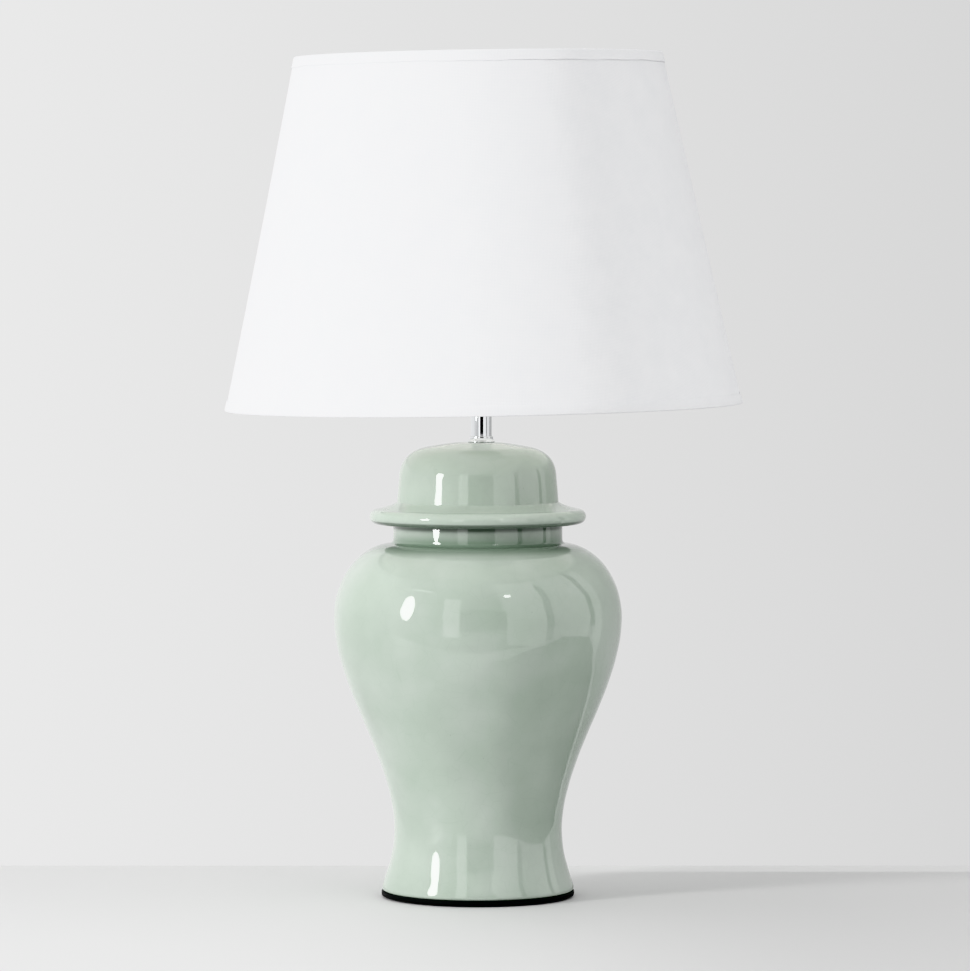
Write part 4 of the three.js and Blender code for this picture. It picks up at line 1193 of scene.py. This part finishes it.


# white styrene sheet: smooth and dull, with a faint rolled texture; its faint glow is painted light,
# standing in for the daylight that comes through the cloth
styrene = finish(
    "white_styrene_painted_glow", 8.33, {"Detail": 4.0}, ("#eeede9", "#f5f4f1"), relief=(0.1, 0.0003),
    Roughness=0.55, IOR=1.59, Emission_Color=linear("#ffffff"), Emission_Strength=0.3,
)

plain_weave = woven("white_plain_weave")
liner = rolled_sheet("styrene_liner", LINER_INSET, LINER_GAUGE, styrene)
on_shade(liner, "shade_styrene", "shade_liner")
cover = rolled_sheet("fabric_cover", COVER_INSET, COVER_GAUGE, plain_weave)
on_shade(cover, "shade_fabric", "shade_cover")


def folded(rim, inward):
    """A tape's outline, folded round a rim, from its outer edge to its inner one and back."""
    end, fold, edge = (rim + inward * rise for rise in (HEM_HEIGHT, HEM_GAUGE + 0.1, 0.05))
    outside, inside = shade_radius(rim) - HEM_OUTSET, shade_radius(rim) - HEM_INSET
    end_outside, end_inside = shade_radius(end) - HEM_OUTSET, shade_radius(end) - HEM_INSET
    fold_outside, fold_inside = shade_radius(fold) - HEM_OUTSET, shade_radius(fold) - HEM_INSET
    outer_bend = (outside, rim + inward * 1.2)
    inner_bend = (inside + 1.0, edge)
    return [
        (end_outside, end),
        outer_bend,
        *bend(outer_bend, (outside, edge), (shade_radius(rim) - 1.3, edge), 4),
        inner_bend,
        *bend(inner_bend, (inside - HEM_GAUGE, edge), (inside - HEM_GAUGE, rim + inward * 1.3), 4),
        (end_inside - HEM_GAUGE, end),
        (end_inside, end),
        (fold_inside, fold + inward * 0.6),
        (fold_inside + 0.6, fold),
        (fold_outside - HEM_GAUGE - 0.6, fold),
        (fold_outside - HEM_GAUGE, fold + inward * 0.6),
        (end_outside - HEM_GAUGE, end),
    ]


def hand_laid(angle, radius, height):
    """Tape folded by hand: its edge wanders a little in height, and it isn't glued dead flat."""
    edge = abs(abs(height - (RIM_LOW + RIM_HIGH) / 2) - (RIM_HIGH - RIM_LOW) / 2) / HEM_HEIGHT
    wander = 0.18 * edge * (sin(9 * angle) + sin(23 * angle + 1))
    return radius - 0.06 * (1 + sin(14 * angle + 2)), height + wander


def lay_out(made):
    """Gives a band round the shade the cover's flat map, split at the back."""
    mesh = made.data
    layout = mesh.uv_layers.new(name="flat_pattern")
    for face in mesh.polygons:
        spots = [mesh.vertices[i].co for i in face.vertices]
        angles = [atan2(spot.x, -spot.y) for spot in spots]
        if max(angles) - min(angles) > pi:
            angles = [angle % (2 * pi) for angle in angles]
        for corner, spot, angle in zip(face.loop_indices, spots, angles):
            layout.data[corner].uv = unrolled(angle, hypot(spot.x, spot.y) * 1000)


top_hem = turned("top_hem_tape", folded(RIM_HIGH, -1), plain_weave, SHEET_COLUMNS, reshape=hand_laid)
lay_out(top_hem)
on_shade(top_hem, "shade_fabric", "top_hem")
bottom_hem = turned("bottom_hem_tape", folded(RIM_LOW, 1), plain_weave, SHEET_COLUMNS, reshape=hand_laid)
slits = []
for turn in ARM_TURNS:
    slit = box_mesh("slit_tool", SLIT_LOW, SLIT_HIGH)
    place = Matrix.Rotation(turn, 4, "Z") @ Matrix.Translation((arm_end / 1000, 0, wire_level / 1000))
    slit.data.transform(place)
    slits.append(slit)
cut(bottom_hem, *slits)
lay_out(bottom_hem)
on_shade(bottom_hem, "shade_fabric", "bottom_hem")

# ---- Bulb ----
# A white LED bulb: a solder tip in black glass, a rolled nickel screw cap, an opaque moulded
# body and an opal dome over the board.
CAP_MEAN = 12.6
CAP_WAVE = 0.5
CAP_PLAIN = 3.0
CAP_GAUGE = 0.4
BULB_SEAM = 0.25
DOME_SHELL = 1.5

# solder: dull frosted grey metal
solder = finish("solder", 1.67, {"Detail": 5.0}, ("#9c9c99", "#b5b5b1"), Metallic=1.0, Roughness=0.42)
# black glass: nearly plain, with fine seeds
black_glass = finish(
    "black_cap_glass", 2.5, {"Detail": 3.0}, ("#0b0b0c", "#161618"), Roughness=0.15, IOR=1.55,
)
# opal polycarbonate: milky, satin, and a little light goes into it
opal = finish(
    "opal_polycarbonate", 6.67, {"Detail": 3.0}, ("#f2f2ee", "#f8f8f5"), Roughness=0.35, IOR=1.58,
    Subsurface_Weight=0.25, Subsurface_Scale=0.004,
)

tip_low, tip_top = levels("bulb_tip")
tip_radius = radius_of("bulb_tip")
outline = [(0, tip_low)] + bend((0, tip_low), (tip_radius, tip_low), (tip_radius, tip_top - 0.3), 8)
outline += [(tip_radius, tip_top), (0, tip_top)]
tip = turned("solder_tip", outline, solder, 48, stem_axis)
fitted(tip, "bulb_tip", "solder", "bulb_tip")

glass_low, glass_top = levels("bulb_insulator")
glass_radius = radius_of("bulb_insulator")
outline = Outline([(0, glass_low), (tip_radius + 0.6, glass_low)])
outline.bend((glass_radius - 2, glass_low + 0.6), (glass_radius, glass_top - 0.2), 8)
outline += [(glass_radius, glass_top), (0, glass_top)]
glass = turned("cap_glass", outline, black_glass, 64, stem_axis)
fitted(glass, "bulb", "black_glass", "bulb_insulator")

cap_bottom, cap_rim = levels("bulb_cap")
full_radius = radius_of("bulb_cap")


def cap_thread(angle, radius, height):
    """The rolled thread of the bulb's cap, faded out at its foot and under its rim."""
    if radius < CAP_MEAN - CAP_GAUGE - 0.01:
        return radius, height
    fade = max(0.0, min(1.0, (height - cap_bottom - CAP_PLAIN) / 2, (cap_rim - 2 - height) / 2))
    return radius + CAP_WAVE * fade * thread_wave(angle, height, BULB_PITCH), height


cap_outside = Outline([(glass_radius - 1.5, cap_bottom), (glass_radius, cap_bottom)])
cap_outside.bend((CAP_MEAN, cap_bottom + 0.6), (CAP_MEAN, cap_bottom + CAP_PLAIN), 5)
cap_side = stack(CAP_MEAN, cap_bottom + CAP_PLAIN, cap_rim - 1.5, BULB_PITCH / 12)
cap_outside += cap_side[1:] + [(full_radius - 0.2, cap_rim - 0.6), (full_radius - 0.2, cap_rim)]
cap_inside = [(CAP_MEAN - CAP_GAUGE, cap_rim)]
cap_inside += [(radius - CAP_GAUGE, height) for radius, height in reversed(cap_side)]
cap_inside += [(glass_radius - 1.5, cap_bottom + 1)]
screw_cap = turned("rolled_screw_cap", cap_outside + cap_inside, nickel, 72, stem_axis, cap_thread)
fitted(screw_cap, "bulb", "nickel_plate", "bulb_cap")

plug_low, body_top = levels("bulb_body")
bulb_radius = radius_of("bulb_body")
neck_radius = full_radius + 0.6
neck_low = cap_rim + SEAT_GAP
plug_radius = CAP_MEAN - CAP_WAVE - CAP_GAUGE - 0.3


def flare_level(share):
    """The level at a share of the bulb body's flare, from its neck to its top."""
    return cap_rim + 4 + share * (body_top - cap_rim - 4)


moulding = Outline([(0, plug_low), (plug_radius, plug_low), (plug_radius, neck_low)])
moulding += bend(
    (neck_radius - 0.8, neck_low), (neck_radius, neck_low), (neck_radius, cap_rim + 0.9), 4,
)
moulding += [(neck_radius, flare_level(0))]
moulding.sweep(
    (neck_radius + 1.4, flare_level(0.36)), (bulb_radius - 1, flare_level(0.58)),
    (bulb_radius, body_top - 1.2), 32,
)
seam_radius = bulb_radius - BULB_SEAM
moulding += [(seam_radius, body_top - 0.9), (seam_radius, body_top), (0, body_top)]
bulb_moulding = turned("bulb_moulding", moulding, white_plastic, 96, stem_axis)
fitted(bulb_moulding, "bulb", "white_plastic", "bulb_body")
refinish("led_board", powder_coat)

dome_low, dome_high = levels("bulb_diffuser")
dome_radius = radius_of("bulb_diffuser")
dome_centre = dome_high - dome_radius
dome_bore = dome_radius - DOME_SHELL
outline = arc((0, dome_centre), (dome_bore, dome_bore), pi / 2, 0, 24)
outline += [(dome_bore, dome_low), (dome_radius - 0.3, dome_low), (dome_radius, dome_low + 0.3)]
outline += arc((0, dome_centre), (dome_radius, dome_radius), 0, pi / 2, 32)
outline[0] = (0, outline[0][1])
outline[-1] = (0, outline[-1][1])
dome = turned("opal_dome", outline, opal, 96, stem_axis)
fitted(dome, "bulb", "opal_plastic", "bulb_diffuser")

low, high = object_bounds()
